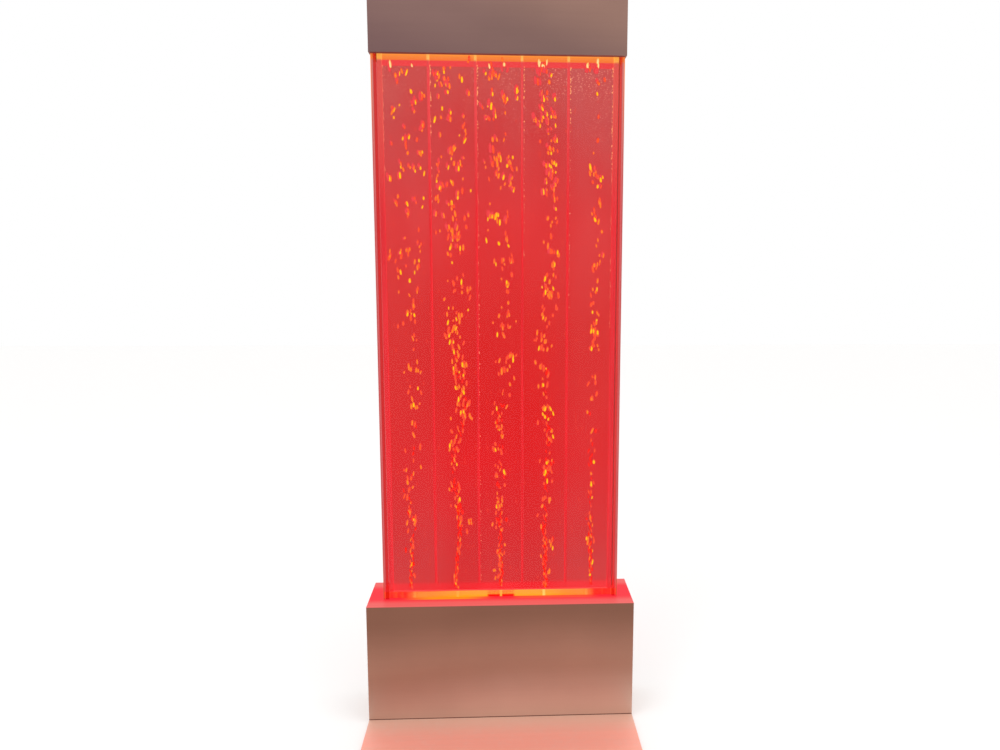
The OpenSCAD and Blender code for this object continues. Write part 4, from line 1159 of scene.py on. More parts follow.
BUBBLE_SKINS = {
    BubbleKind.RED: BubbleSkin("bubble_red", "ff2410", "ff060a", "fa0a12"),
    BubbleKind.EMBER: BubbleSkin("bubble_ember", "ff5c2c", "fb4632", "f02e34"),
    BubbleKind.ORANGE: BubbleSkin("bubble_orange", "ff8c24", "ff5a2a", "f43434"),
    BubbleKind.YELLOW: BubbleSkin("bubble_yellow", "ffd40c", "ff901c", "fc442e"),
    BubbleKind.CREAM: BubbleSkin("bubble_cream", "ffeaa0", "ffb85c", "ff8848"),
    BubbleKind.ROSE: BubbleSkin("bubble_rose", "f2464c", "ee3c44", "e43e46"),
}


class Bend(NamedTuple):
    """One bend of a column: how high it is, 0 to 1, and what the bubbles do there."""

    rise: float
    centre: float
    spread: float
    crowd: float


class Bubble(NamedTuple):
    """One bubble: its height, 0 to 1, its place aside in metres, its side of the water, size and lean."""

    rise: float
    place: float
    side: Side
    radius: float
    stretch: float
    lean: float


class ClingingLine(NamedTuple):
    """A line of specks: its X, the way they lie from it, how far down they go, where bright ones start."""

    edge: float
    way: int
    down: float
    cream_from: float


@dataclass
class BubbleColumn:
    """One chamber's bubbles: large ones at the hollows, small ones in strands, and a trail at the nozzle.

    Attributes:
        number: the chamber, from 1 on the left.
        drift, reach, foot, sway, jitter: where the large bubbles stray, as the part's source has it.
        count: how many small bubbles rise on each side of the water.
        bends: the course of the small bubbles.
        strands, wander: how many strands they rise in and how far those wander.
        large_count, large_radius: how many large bubbles there are, and their hollows' radii.
        hollow_share: a large bubble's radius as a share of its hollow's.
        front_share: the share of large bubbles that rise in front.
        small_radius: the least, the largest and the commonest radius of a small bubble.
        small_tilt: how far a strand tilts its bubbles at most, in radians.
        small_lean, large_lean: how unevenly the small and the large bubbles lean.
        together, scatter: how many small ones may rise together, and how far they lie aside and above.
        place_limit, trail_limit: how far aside a bubble may be, as a share of half the chamber.
        trail_top, trail_share: how high the trail runs, 0 to 1, and how full it stays on its way.
        trail_wind: how high it rises in one turn, 0 to 1.
        trail_reach, trail_spread: how far it swings aside at its foot, and how that grows.
        trail_step: how far apart its bubbles follow, 0 to 1.
    """

    number: int
    drift: float
    reach: float
    count: int
    bends: tuple[Bend, ...]
    strands: int = 3
    wander: float = 0.22
    large_count: int = 44
    large_radius: tuple[float, float] = (0.0026, 0.0048)
    large_stretch: tuple[float, float] = (1.5, 2.1)
    large_lean: float = 0.15
    hollow_share: float = 0.78
    foot: float = 0.1
    sway: float = 0.12
    jitter: float = 0.45
    front_share: float = 0.6
    small_radius: tuple[float, float, float] = (0.0017, 0.0036, 0.0024)
    small_stretch: tuple[float, float] = (1.6, 3.2)
    small_tilt: float = 0.35
    small_lean: float = 0.14
    together: tuple[int, int] = (2, 4)
    scatter: tuple[float, float] = (0.003, 0.006)
    place_limit: float = 0.92
    trail_top: float = 0.4
    trail_share: float = 0.5
    trail_wind: float = 0.036
    trail_reach: float = 0.055
    trail_spread: float = 0.22
    trail_step: tuple[float, float] = (0.0035, 0.0060)
    trail_radius: tuple[float, float] = (0.0015, 0.0024)
    trail_stretch: tuple[float, float] = (2.0, 3.2)
    trail_limit: float = 0.95

    def repeated(self, index: int, kind: int) -> float:
        """Gives a number from 0 to 1 for one large bubble, by the rule that places the hollows."""
        value = math.sin(math.radians(index * 97.13 + (self.number - 1) * 41.7 + kind * 151.9)) * 43758.5453
        return value - math.floor(value)

    def large(self, room: float, dice: random.Random) -> list[Bubble]:
        """Places the large bubbles at the hollows of the part's source.

        Args:
            room: how far aside from the chamber's middle they may be, in metres.
            dice: the column's own random numbers.

        Returns:
            The bubbles, front and rear.
        """
        low, high = self.large_radius
        found = []
        for index in range(self.large_count):
            rise = (index + 0.5 + (self.repeated(index, 1) - 0.5) * self.jitter) / self.large_count
            spread = self.foot + (self.reach - self.foot) * rise ** 0.8
            swing = self.sway * math.sin(math.radians(rise * 1500 + (self.number - 1) * 120))
            aside = self.drift * math.sqrt(rise) + spread * (2 * self.repeated(index, 3) - 1) + swing
            side = Side.FRONT if self.repeated(index, 4) < self.front_share else Side.REAR
            radius = self.hollow_share * (low + (high - low) * self.repeated(index, 2))
            stretch, lean = dice.uniform(*self.large_stretch), dice.gauss(0.0, self.large_lean)
            found.append(Bubble(rise, room * aside, side, radius, stretch, lean))
        return found

    def at(self, rise: float) -> Bend:
        """Gives the column's course at a height.

        Args:
            rise: the height, 0 to 1.

        Returns:
            The course, run smoothly between the bends below and above.
        """
        for low, high in zip(self.bends, self.bends[1:]):
            if rise <= high.rise:
                share = (rise - low.rise) / (high.rise - low.rise)
                share = share * share * (3 - 2 * share)
                return Bend(*(a + (b - a) * share for a, b in zip(low, high)))
        return self.bends[-1]

    def drifting(self, turns: float, rise: float, strand: float) -> float:
        """Gives a smooth wander from -1 to 1 that turns about so many times on its way up."""
        return noise.noise(Vector((turns * rise, 3.7 * strand, 5.3 * self.number)))

    def across(self, rise: float, strand: int) -> float:
        """Gives where a strand runs.

        Args:
            rise: the height, 0 to 1.
            strand: the strand, from 0.

        Returns:
            Its place aside, as a share of half the chamber.
        """
        course = self.at(rise)
        broad = 1.3 * course.spread * self.drifting(9.0, rise, strand)
        return course.centre + broad + self.wander * self.drifting(30.0, rise, strand + 11)

    def crowd(self, rise: float) -> float:
        """Gives how close the bubbles are at a height, 0 to 2, because they rise in bursts."""
        return self.at(rise).crowd * (1 + 0.8 * self.drifting(26.0, rise, 23))

    def small(self, half: float, height: float, side: Side, dice: random.Random) -> list[Bubble]:
        """Draws the small bubbles.

        Args:
            half: half the chamber's width, in metres.
            height: how far the bubbles rise, in metres.
            side: the side of the water.
            dice: the column's own random numbers.

        Returns:
            The bubbles of that side.
        """
        drawn = []
        step = 0.004
        while len(drawn) < self.count:
            rise = dice.random()
            if dice.random() * 2.0 > self.crowd(rise):
                continue
            strand = dice.randrange(self.strands)
            spread = self.at(rise).spread
            stray = dice.gauss(0.0, 0.06 + 0.4 * spread + 0.7 * spread ** 2)
            place = self.across(rise, strand) + stray
            if abs(place) > self.place_limit:
                place = dice.uniform(-0.9, 0.9)
            run = (self.across(rise + step, strand) - self.across(rise, strand)) * half
            along = 0.5 * math.atan2(run, step * height)
            lean = max(-self.small_tilt, min(self.small_tilt, along)) + dice.gauss(0.0, self.small_lean)
            for k in range(dice.randint(*self.together) if dice.random() < 0.1 + 0.3 * rise else 1):
                beside, above = (dice.gauss(0.0, s) if k else 0.0 for s in self.scatter)
                level = min(1.0, max(0.0, rise + above / height))
                radius, stretch = dice.triangular(*self.small_radius), dice.uniform(*self.small_stretch)
                drawn.append(Bubble(level, half * place + beside, side, radius, stretch, lean))
        return drawn

    def trail(self, half: float, height: float, side: Side, dice: random.Random) -> list[Bubble]:
        """Draws the two close strands that wind up from the nozzle and thin out on their way.

        Args:
            half: half the chamber's width, in metres.
            height: how far the bubbles rise, in metres.
            side: the side of the water.
            dice: the column's own random numbers.

        Returns:
            The bubbles of that side.
        """
        drawn = []
        rise = 0.0
        while rise < self.trail_top:
            rise += dice.uniform(*self.trail_step)
            left = 1.0 - rise / self.trail_top
            burst = 0.5 + 0.9 * self.drifting(34.0, rise, 31 + side)
            keep = 0.9 * left ** 3 + self.trail_share * burst * min(1.0, 3.0 * left)
            turned = 2 * math.pi * rise / self.trail_wind + self.number
            reach = self.trail_reach + self.trail_spread * rise
            slope = reach * math.cos(turned) * 2 * math.pi / self.trail_wind
            middle = self.at(rise).centre + 0.5 * self.wander * self.drifting(22.0, rise, 29)
            for strand in (-1, 1):
                radius, stretch = dice.uniform(*self.trail_radius), dice.uniform(*self.trail_stretch)
                if dice.random() > keep:
                    continue
                place = middle + strand * (reach * math.sin(turned))
                place = max(-self.trail_limit, min(self.trail_limit, place))
                lean = 0.7 * math.atan2(strand * slope * half, height)
                drawn.append(Bubble(rise, half * place, side, radius, stretch, lean))
        return drawn


@dataclass
class Tank:
    """The clear tank: sheets, bars and strips, the glowing water and its bubbles.

    Attributes:
        divider_t: the dividers' thickness, which the chambers' width leaves out.
        edge_share: the outer strip's share of the sheet's width past the side strips.
        clear: the gap that keeps the water off what it would touch.
        core_inset: how far the glowing water stays behind the sheets, which leaves the bubbles room.
        surface_rise: how high the water's surface is stirred.
        nozzle_h, first_h: how far over the water's foot the small and the large bubbles start.
        top_gap: how far under its top they end.
        side_gap, large_gap: how far the small and the large bubbles stay off the dividers.
        sheet_gap: how far all of them stay off the sheets.
        flatness, wobble: a bubble's depth as a share of its width, and how far it is out of round.
        clinging_per_line: how many specks cling to a line that runs all the way down.
        clinging_gap: how far behind the front sheet the middles of the specks are.
        glow_mark_from, glow_mark_share: from what height lit bubbles have a dim mark of painted light beside
            them, and how fast their share grows.
        glow_mark_below, glow_mark_size: how far those marks stay under the topmost bubbles, and how much
            wider they are.
        seed: what all random numbers start from.
        columns: the five chambers' bubbles.
    """

    divider_t: float = 0.005
    edge_share: float = 5 / 12
    clear: float = 0.0003
    core_inset: float = 0.006
    surface_rise: float = 0.0012
    nozzle_h: float = 0.007
    first_h: float = 0.022
    top_gap: float = 0.012
    side_gap: float = 0.004
    large_gap: float = 0.002
    sheet_gap: float = 0.0004
    flatness: float = 0.8
    wobble: float = 0.06
    clinging_per_line: int = 120
    clinging_gap: float = 0.0024
    glow_mark_from: float = 0.55
    glow_mark_share: float = 1.7
    glow_mark_below: float = 0.02
    glow_mark_size: float = 1.15
    seed: int = 20
    columns: tuple[BubbleColumn, ...] = (
        BubbleColumn(1, 0.05, 0.74, 175, (
            Bend(0.0, -0.16, 0.05, 0.8), Bend(0.12, -0.05, 0.16, 0.9), Bend(0.25, -0.03, 0.36, 1.1),
            Bend(0.42, 0.15, 0.32, 1.0), Bend(0.6, 0.18, 0.5, 1.1), Bend(0.8, 0.15, 0.8, 1.3),
            Bend(0.9, -0.12, 0.9, 1.1), Bend(1.0, -0.08, 0.8, 1.5)), trail_top=0.26, trail_share=0.35),
        BubbleColumn(2, 0.05, 0.74, 310, (
            Bend(0.0, -0.1, 0.08, 1.1), Bend(0.13, 0.16, 0.2, 1.1), Bend(0.26, -0.1, 0.2, 1.3),
            Bend(0.35, 0.3, 0.22, 1.6), Bend(0.5, 0.0, 0.32, 1.5), Bend(0.65, 0.05, 0.58, 1.7),
            Bend(0.8, -0.08, 0.62, 1.7), Bend(1.0, 0.03, 0.7, 1.5)), trail_top=0.52, trail_share=0.65),
        BubbleColumn(3, 0.12, 0.68, 225, (
            Bend(0.0, 0.0, 0.06, 1.0), Bend(0.15, -0.03, 0.22, 1.0), Bend(0.33, 0.0, 0.3, 1.1),
            Bend(0.42, 0.36, 0.28, 1.1), Bend(0.6, 0.3, 0.3, 1.0), Bend(0.72, 0.08, 0.5, 1.3),
            Bend(0.82, 0.1, 0.85, 1.5), Bend(0.89, -0.04, 0.65, 0.8), Bend(1.0, 0.0, 0.85, 1.1)),
            trail_top=0.45, trail_share=0.4),
        BubbleColumn(4, 0.25, 0.4, 225, (
            Bend(0.0, 0.12, 0.08, 0.9), Bend(0.13, 0.05, 0.2, 1.0), Bend(0.2, 0.19, 0.16, 1.2),
            Bend(0.34, 0.22, 0.24, 1.3), Bend(0.42, 0.03, 0.16, 0.5), Bend(0.5, 0.05, 0.24, 1.0),
            Bend(0.57, 0.29, 0.3, 2.1), Bend(0.72, 0.37, 0.12, 0.75), Bend(0.8, 0.4, 0.28, 1.6),
            Bend(0.88, 0.09, 0.28, 1.1), Bend(1.0, -0.08, 0.36, 1.0)), trail_top=0.45, trail_share=0.6),
        BubbleColumn(5, 0.4, 0.25, 110, (
            Bend(0.0, 0.22, 0.04, 0.9), Bend(0.2, 0.15, 0.12, 0.8), Bend(0.42, 0.22, 0.13, 0.6),
            Bend(0.56, 0.3, 0.16, 1.3), Bend(0.66, 0.29, 0.14, 1.0), Bend(0.72, 0.35, 0.05, 0.05),
            Bend(0.76, 0.4, 0.1, 0.1), Bend(0.8, 0.43, 0.25, 1.7), Bend(0.86, 0.45, 0.05, 0.08),
            Bend(0.9, 0.4, 0.1, 0.15), Bend(1.0, 0.33, 0.4, 1.2)), trail_top=0.32, trail_share=0.35),
    )

    def build(self) -> None:
        """Dresses the tank's nodes and makes its water and bubbles."""
        self.measure()
        self.dress_acrylic()
        self.fill_water()
        self.raise_bubbles()
        self.cling_bubbles()

    def measure(self) -> None:
        """Reads the chambers' places from the water."""
        low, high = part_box("water_fill")
        self.water_low, self.water_high = low.z, high.z
        self.inner_half, self.gap_half = high.x, high.y
        self.core_half_depth = self.gap_half - self.core_inset
        chambers = len(self.columns)
        self.chamber_w = (2 * self.inner_half - (chambers - 1) * self.divider_t) / chambers
        self.pitch = self.chamber_w + self.divider_t

    def chamber_x(self, number: int) -> float:
        """Gives the middle of a chamber, numbered from 1 on the left."""
        return (number - (len(self.columns) + 1) / 2) * self.pitch

    def dress_acrylic(self) -> None:
        """Dresses the sheets, bars, strips and dividers."""
        half_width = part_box("tank_front_sheet")[1].x
        channel_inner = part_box("tank_side_strips")[1].x
        channel_outer = half_width - (half_width - channel_inner) * self.edge_share
        sheet = ClearSheet("clear_sheet", channel_inner, channel_outer, half_width)
        for name in ("tank_front_sheet", "tank_rear_sheet"):
            DRESSER.node(name, sheet, round_edge=0.0005)
        bar_low, bar_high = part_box("tank_bottom_bar")
        window_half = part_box("light_window")[1].x - 0.003
        joiner_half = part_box("window_joiner")[1].x
        lit_bar = LitBar("lit_bar", window_half, bar_low.z, bar_high.z, self.pitch, joiner_half)
        top_bar = LitAcrylic("lit_top_bar", body_tint="ff9440", top_tint="ffb04a")
        strip = LitAcrylic("lit_strip", upper_tint="e0564e")
        divider = LitAcrylic("lit_divider", body_tint="f2262e", upper_tint="ea4a4c", top_tint="ffc060")
        edge = LitAcrylic("edge_strip", body_tint="dc7072", upper_tint="d2827c", top_tint="e8803c")
        DRESSER.node("tank_bottom_bar", lit_bar)
        DRESSER.node("tank_top_bar", top_bar, round_edge=0.0005)
        DRESSER.node("tank_side_strips", strip)
        DRESSER.node("tank_dividers", divider)
        DRESSER.node("tank_edge_strips", edge)

    def fill_water(self) -> None:
        """Makes the glowing water behind the front bubbles, and its surface."""
        clear, top, depth = self.clear, self.water_high, self.core_half_depth
        divider_low, divider_high = (corner.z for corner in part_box("tank_dividers"))
        batch = MeshBatch()
        wall, foot = self.inner_half - clear, self.water_low + clear
        outline = [(-wall, foot), (wall, foot), (wall, top)]
        for number in range(len(self.columns) - 1, 0, -1):
            left = self.chamber_x(number) + self.chamber_w / 2 - clear
            right = left + self.divider_t + 2 * clear
            under = divider_low - clear
            outline += [(right, top), (right, under), (left, under), (left, top)]
            batch.block((left, -depth, divider_high + clear), (right, depth, top))
        outline.append((-wall, top))
        batch.plate(outline, -depth, depth)
        water = WaterGlow("water_glow", self.water_low, self.water_high)
        core = DRESSER.piece("water_body", batch, water, slot="red_lit_water", smooth=False)
        DRESSER.soften(core, 0.0008)
        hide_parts("water_fill")
        self.ripple_surface(wall, self.gap_half - clear)

    def ripple_surface(self, half_w: float, half_d: float) -> None:
        """Makes the water's surface, which the bubbles stir.

        Args:
            half_w: half its width.
            half_d: half its depth.
        """
        surface = MeshBatch()
        dice = random.Random(self.seed)
        steps_x, steps_y = 84, 8
        for i in range(steps_x + 1):
            for j in range(steps_y + 1):
                share_x, share_y = 2 * i / steps_x - 1, 2 * j / steps_y - 1
                edge = max(abs(share_x), abs(share_y)) ** 8
                rise = self.surface_rise * (edge + 0.5 * dice.uniform(-1, 1) * (1 - edge))
                level = self.water_high + rise - self.surface_rise
                surface.points.append((half_w * share_x, half_d * share_y, level))
        for i in range(steps_x):
            for j in range(steps_y):
                a = i * (steps_y + 1) + j
                surface.faces.append([a, a + steps_y + 1, a + steps_y + 2, a + 1])
        glow = LitAcrylic("surface_glow", body_tint="ff9448", top_from=2.0, top_to=2.1)
        top = DRESSER.piece("water_surface", surface, glow, slot="red_lit_water")
        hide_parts("water_fill")

    def raise_bubbles(self) -> None:
        """Makes each chamber's bubbles in front of the glowing water and behind it, by how they are lit."""
        for column in self.columns:
            for kind, batch in self.column_batches(column).items():
                made = DRESSER.piece(f"bubbles_{column.number}_{kind.value}", batch, BUBBLE_SKINS[kind],
                                     slot="red_lit_water")
                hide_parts("water_fill")

    def column_batches(self, column: BubbleColumn) -> dict[BubbleKind, MeshBatch]:
        """Makes one chamber's large and small bubbles, the dim marks of painted light beside them, and its
        trail.

        Args:
            column: the chamber's bubbles.

        Returns:
            The meshes, by how the bubbles are lit.
        """
        dice = random.Random(self.seed + column.number)
        glow_mark_dice = random.Random(self.seed * 7 + column.number)
        batches = {kind: MeshBatch() for kind in BUBBLE_SKINS}
        foot, first = self.water_low + self.nozzle_h, self.water_low + self.first_h
        high = self.water_high - self.top_gap
        half = self.chamber_w / 2 - self.side_gap
        room = self.chamber_w / 2 - column.large_radius[1] - self.large_gap
        for bubble in column.large(room, dice):
            batch = batches[self.kind_of(bubble, dice)]
            self.add_bubble(batch, column.number, bubble, first + (high - first) * bubble.rise, dice)
        for side in Side:
            for bubble in column.small(half, high - foot, side, dice):
                batch = batches[self.kind_of(bubble, dice)]
                level = foot + (high - foot) * bubble.rise
                self.add_bubble(batch, column.number, bubble, level, dice)
                # a dim rose mark of painted light beside a lit bubble, shaped as a wider bubble
                if glow_mark_dice.random() < self.glow_mark_share * (bubble.rise - self.glow_mark_from):
                    dim = self.painted_glow_mark(bubble, glow_mark_dice)
                    level = min(level + glow_mark_dice.uniform(-0.001, 0.006), high - self.glow_mark_below)
                    self.add_bubble(batches[BubbleKind.ROSE], column.number, dim, level, glow_mark_dice)
            for bubble in column.trail(half, high - foot, side, dice):
                kinds = (BubbleKind.RED, BubbleKind.EMBER, BubbleKind.ORANGE)
                batch = batches[dice.choices(kinds, (0.7, 0.2, 0.1))[0]]
                self.add_bubble(batch, column.number, bubble, foot + (high - foot) * bubble.rise, dice)
        return batches

    def painted_glow_mark(self, bubble: Bubble, dice: random.Random) -> Bubble:
        """Gives the dim rose mark of painted light, shaped as a wider bubble, that rises close beside a lit
        one, to its left.

        Args:
            bubble: the lit one.
            dice: random numbers of the marks.

        Returns:
            The mark.
        """
        radius = self.glow_mark_size * bubble.radius
        limit = self.chamber_w / 2 - radius - 0.003
        place = bubble.place - dice.uniform(0.3, 1.9) * bubble.radius
        return bubble._replace(place=max(-limit, min(limit, place)), radius=radius)

    def kind_of(self, bubble: Bubble, dice: random.Random) -> BubbleKind:
        """Chooses how brightly a bubble is lit, more brightly the higher it is.

        Args:
            bubble: the bubble.
            dice: the chamber's own random numbers.

        Returns:
            Its kind.
        """
        chance = dice.random()
        if bubble.rise > 0.985 and chance < 0.6:
            return BubbleKind.CREAM
        if chance < 0.05 + 0.2 * bubble.rise:
            return BubbleKind.YELLOW
        if chance < 0.32 + 0.42 * bubble.rise:
            return BubbleKind.ORANGE
        return BubbleKind.RED if chance > 0.72 + 0.6 * bubble.rise else BubbleKind.EMBER

    def add_bubble(self, batch: MeshBatch, number: int, bubble: Bubble, height: float,
                   dice: random.Random) -> None:
        """Adds one bubble between the glowing water and the sheet.

        Args:
            batch: where it goes.
            number: its chamber.
            bubble: the bubble.
            height: the height of its middle.
            dice: the chamber's own random numbers.
        """
        depth = self.flatness * bubble.radius
        by_sheet = self.gap_half - self.sheet_gap - depth
        away = dice.uniform(min(self.core_half_depth + 0.2 * depth, by_sheet), by_sheet)
        place = (self.chamber_x(number) + bubble.place, bubble.side * away, height)
        batch.bubble(place, bubble.radius, bubble.stretch, bubble.lean, self.wobble, depth)

    def cling_bubbles(self) -> None:
        """Makes the tiny bubbles that cling beside the dividers and side strips."""
        dice = random.Random(self.seed * 3)
        cream, pale = MeshBatch(), MeshBatch()
        foot, height = self.water_low + 0.02, self.water_high - self.water_low - 0.045
        past_divider = self.chamber_w / 2 + self.divider_t
        lines = [ClingingLine(self.chamber_x(number) + past_divider, 1, down, 0.86)
                 for number, down in enumerate((0.25, 1.0, 0.35, 0.45), 1)]
        lines.append(ClingingLine(-self.inner_half, 1, 0.2, 1.0))
        lines.append(ClingingLine(self.inner_half, -1, 0.5, 0.78))
        for line in lines:
            for _ in range(int(self.clinging_per_line * (0.2 + 0.8 * line.down))):
                rise = 1.0 - line.down * dice.random() ** 1.25
                batch = cream if rise > line.cream_from + 0.08 * dice.random() else pale
                size = dice.uniform(0.0007, 0.0016) if batch is cream else dice.uniform(0.0005, 0.0012)
                x = line.edge + line.way * (size + dice.uniform(0.0, 0.0016))
                spot = (x, -self.gap_half + self.clinging_gap, foot + height * rise)
                batch.bubble(spot, size, dice.uniform(0.9, 1.7), 0.0, 0.0, size, around=6, rings=4)
        pale_skin = BubbleSkin("bubble_pale", "fcae80", "f88468", "f0605a")
        cream_skin = BubbleSkin("bubble_specks", "ffc880", "fc9c68", "f47c58")
        DRESSER.piece("clinging_bubbles", pale, pale_skin, slot="red_lit_water")
        DRESSER.piece("clinging_bubbles_high", cream, cream_skin, slot="red_lit_water")


@dataclass
class Steelwork:
    """The base box, floor plate and canopy, with their frame and fasteners."""

    bend: float = 0.0011

    def build(self) -> None:
        """Dresses all the sheet steel, tubes and fasteners."""
        box_low, box_high = (corner.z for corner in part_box("base_shell"))
        canopy_low, canopy_high = (corner.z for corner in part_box("canopy_shell"))
        # the base's tint, paler low down and darker to the sides, and the canopy's, paler high up and to the
        # right, are painted reflection and light
        base = BrushedSteel("base_steel", "c4a595", "9e7260", "7e5848", box_low, box_high,
                            side_tilt=-0.05, side_fall=0.06, spill_above=box_high)
        canopy = BrushedSteel("canopy_steel", "675150", "785f5a", "8d6f64", canopy_low - 0.1, canopy_high,
                              side_tilt=0.37)
        DRESSER.node("base_shell", base, round_edge=self.bend)
        DRESSER.node("service_door", base)
        DRESSER.node("canopy_shell", canopy, round_edge=self.bend)
        DRESSER.node("floor_plate", FloorPlateSteel("plate_steel"), round_edge=0.0005)
        tube = PaintedSteel("tube_paint")
        for name in ("frame_rails", "frame_legs", "air_bar_brackets", "canopy_rest_bars", "door_strike"):
            DRESSER.node(name, tube, round_edge=0.0006)
        bright = Metal("bright_steel", "6e6963")
        for name in ("base_screws", "tank_bolts", "hinge_shell_leaves", "door_hinge_leaves", "hinge_pins",
                     "door_pull"):
            DRESSER.node(name, bright, round_edge=0.0003)
        rubber = Moulded("black_rubber", "1c1c1c", roughness=0.75, pit_scale=900.0)
        for name in ("foot_pads", "canopy_rest_blocks", "nozzle_washers", "pump_feet", "fill_cap"):
            DRESSER.node(name, rubber, round_edge=0.0005)
        DRESSER.node("door_magnet", Moulded("magnet_case", "2a2a2c"), round_edge=0.0005)


@dataclass
class Fittings:
    """The lights, air way, drain and power inside and behind the base box.

    Attributes:
        tube_radius, lead_radius, hose_radius: the soft runs' radii.
        tube_bend, lead_bend, hose_bend: how far from a corner each run starts to turn.
        chip_h: how high the light chips stand on their boards.
        brass, white: the finishes that several fittings share.
        inner_routes, upper_route, feed_route, hose_route: the runs' corners, as in the part's source.
    """

    tube_radius: float = 0.004
    lead_radius: float = 0.002
    hose_radius: float = 0.006
    tube_bend: float = 0.020
    lead_bend: float = 0.010
    hose_bend: float = 0.024
    chip_h: float = 0.0016
    brass: Finish = Metal("turned_brass", "c89c48", roughness=0.25)
    white: Finish = Moulded("white_plastic", "e4e4de", roughness=0.4)
    inner_routes: tuple[Route, ...] = (
        ((0.262, 0.049, 0.136), (0.262, 0.020, 0.136), (0.262, 0.020, 0.057), (0.200, -0.014, 0.047),
         (0.180, -0.014, 0.029), (0.170, -0.014, 0.029)),
        ((0.060, -0.008, 0.021), (0.050, -0.008, 0.021), (0.036, -0.008, 0.013), (-0.019, 0.022, 0.013),
         (-0.035, 0.022, 0.021), (-0.045, 0.022, 0.021)),
        ((0.170, 0.012, 0.019), (0.1775, 0.012, 0.019), (0.185, 0.012, 0.019)),
        ((0.233, 0.030, 0.027), (0.233, 0.030, 0.067), (0.232, 0.006, 0.127), (0.232, 0.0, 0.262),
         (0.218, 0.0, 0.262)),
    )
    upper_route: Route = ((0.233, 0.014, 0.027), (0.233, 0.014, 0.067), (0.2585, 0.0, 0.102),
                          (0.2585, 0.0, 1.503), (0.250, 0.011, 1.503), (0.240, 0.011, 1.503))
    feed_route: Route = ((-0.033, 0.0, 0.035), (0.0, 0.0, 0.035), (0.0, 0.0, 0.148))
    hose_route: Route = ((-0.229, 0.0, 0.238), (-0.229, 0.0, 0.188), (-0.255, 0.014, 0.120),
                         (-0.255, 0.014, 0.060), (-0.255, 0.0555, 0.060))

    def build(self) -> None:
        """Dresses the fittings and makes the soft runs between them."""
        self.dress_lights()
        self.dress_air()
        self.dress_power_and_drain()
        self.run_leads()
        self.run_tubes()

    def dress_lights(self) -> None:
        """Dresses the lights under and over the tank."""
        aluminium = Metal("bare_aluminium", "c2c4c8", roughness=0.38, lines=(8.0, 900.0, 900.0))
        for name in ("light_tray", "top_light_channel", "air_bar", "power_supply"):
            DRESSER.node(name, aluminium, round_edge=0.0004)
        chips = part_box("light_boards")[1].z - self.chip_h
        lower = Moulded("light_board", "e8e8e2", second_tint="ffb42a", second_above=chips, second_glow=1.0)
        DRESSER.node("light_boards", lower)
        chips_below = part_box("top_light_board")[1].z - self.chip_h
        upper = Moulded("top_board", "ffb42a", second_tint="e8e8e2", second_above=chips_below,
                        second_glow=0.4)
        DRESSER.node("top_light_board", upper)
        opal = LitAcrylic("lit_opal", body_tint="ff9a30", top_tint="ffb860", streaks=(30.0, 30.0, 30.0))
        for name in ("light_window", "top_light_lens"):
            DRESSER.node(name, opal)
        joiner = LitAcrylic("lit_joiner", body_tint="d81410", streaks=(90.0, 90.0, 90.0))
        DRESSER.node("window_joiner", joiner)

    def dress_air(self) -> None:
        """Dresses the pump, valves and nozzles, and the drain's fitting."""
        blue = Moulded("blue_plastic", "245a9c", roughness=0.42)
        for number in range(1, 6):
            DRESSER.node(f"air_valve_{number}", blue, round_edge=0.0004)
        DRESSER.node("air_nozzles", self.brass, round_edge=0.0003)
        DRESSER.node("drain_fitting", self.brass, round_edge=0.0003)
        DRESSER.node("check_valves", self.white, round_edge=0.0004)
        DRESSER.node("pump_base", Moulded("pump_black", "222427", roughness=0.55), round_edge=0.0015)
        DRESSER.node("pump_cover", Moulded("pump_grey", "34373c", roughness=0.5), round_edge=0.0025)

    def dress_power_and_drain(self) -> None:
        """Dresses the electrics, the filling neck and the drain tap."""
        for name in ("light_controller", "fill_neck"):
            DRESSER.node(name, self.white, round_edge=0.0006)
        DRESSER.node("power_inlet", Moulded("inlet_black", "1b1b1d", roughness=0.42), round_edge=0.0005)
        red = Moulded("red_plastic", "c81c18", roughness=0.3)
        for name in ("rocker_switch", "mode_button"):
            DRESSER.node(name, red, round_edge=0.0004)
        DRESSER.node("drain_tap", self.brass, round_edge=0.0004)
        DRESSER.node("drain_lever", Moulded("lever_blue", "245a9c", roughness=0.35), round_edge=0.0006)

    def run_leads(self) -> None:
        """Makes the leads in the box and the upper light's lead."""
        white = Moulded("lead_white", "dcdcd8", roughness=0.45, pit_scale=700.0)
        inner = self.runs(self.inner_routes, self.lead_bend, self.lead_radius)
        leads = DRESSER.piece("inner_lead_runs", inner, white, slot="white_plastic")
        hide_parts("inner_leads")
        upper = self.runs((self.upper_route,), self.lead_bend, self.lead_radius)
        lead = DRESSER.piece("top_light_lead_run", upper, white, slot="white_plastic")
        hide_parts("top_light_lead")

    def run_tubes(self) -> None:
        """Makes the air feed tube and the drain hose, and dresses the short tubes."""
        vinyl = SoftVinyl("soft_vinyl")
        feed = self.runs((self.feed_route,), self.tube_bend, self.tube_radius)
        feed_tube = DRESSER.piece("air_feed_run", feed, vinyl, slot="soft_tube")
        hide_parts("air_feed_tube")
        hose = self.runs((self.hose_route,), self.hose_bend, self.hose_radius)
        drain = DRESSER.piece("drain_hose_run", hose, vinyl, slot="soft_tube")
        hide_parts("drain_hose")
        DRESSER.node("riser_tubes", vinyl)

    def runs(self, routes: tuple[Route, ...], bend: float, radius: float) -> MeshBatch:
        """Makes round runs of one size.

        Args:
            routes: each run's corners.
            bend: how far from a corner a run starts to turn.
            radius: the runs' radius.

        Returns:
            The runs' mesh.
        """
        batch = MeshBatch()
        for corners in routes:
            batch.tube(rounded_route(corners, bend), radius)
        return batch


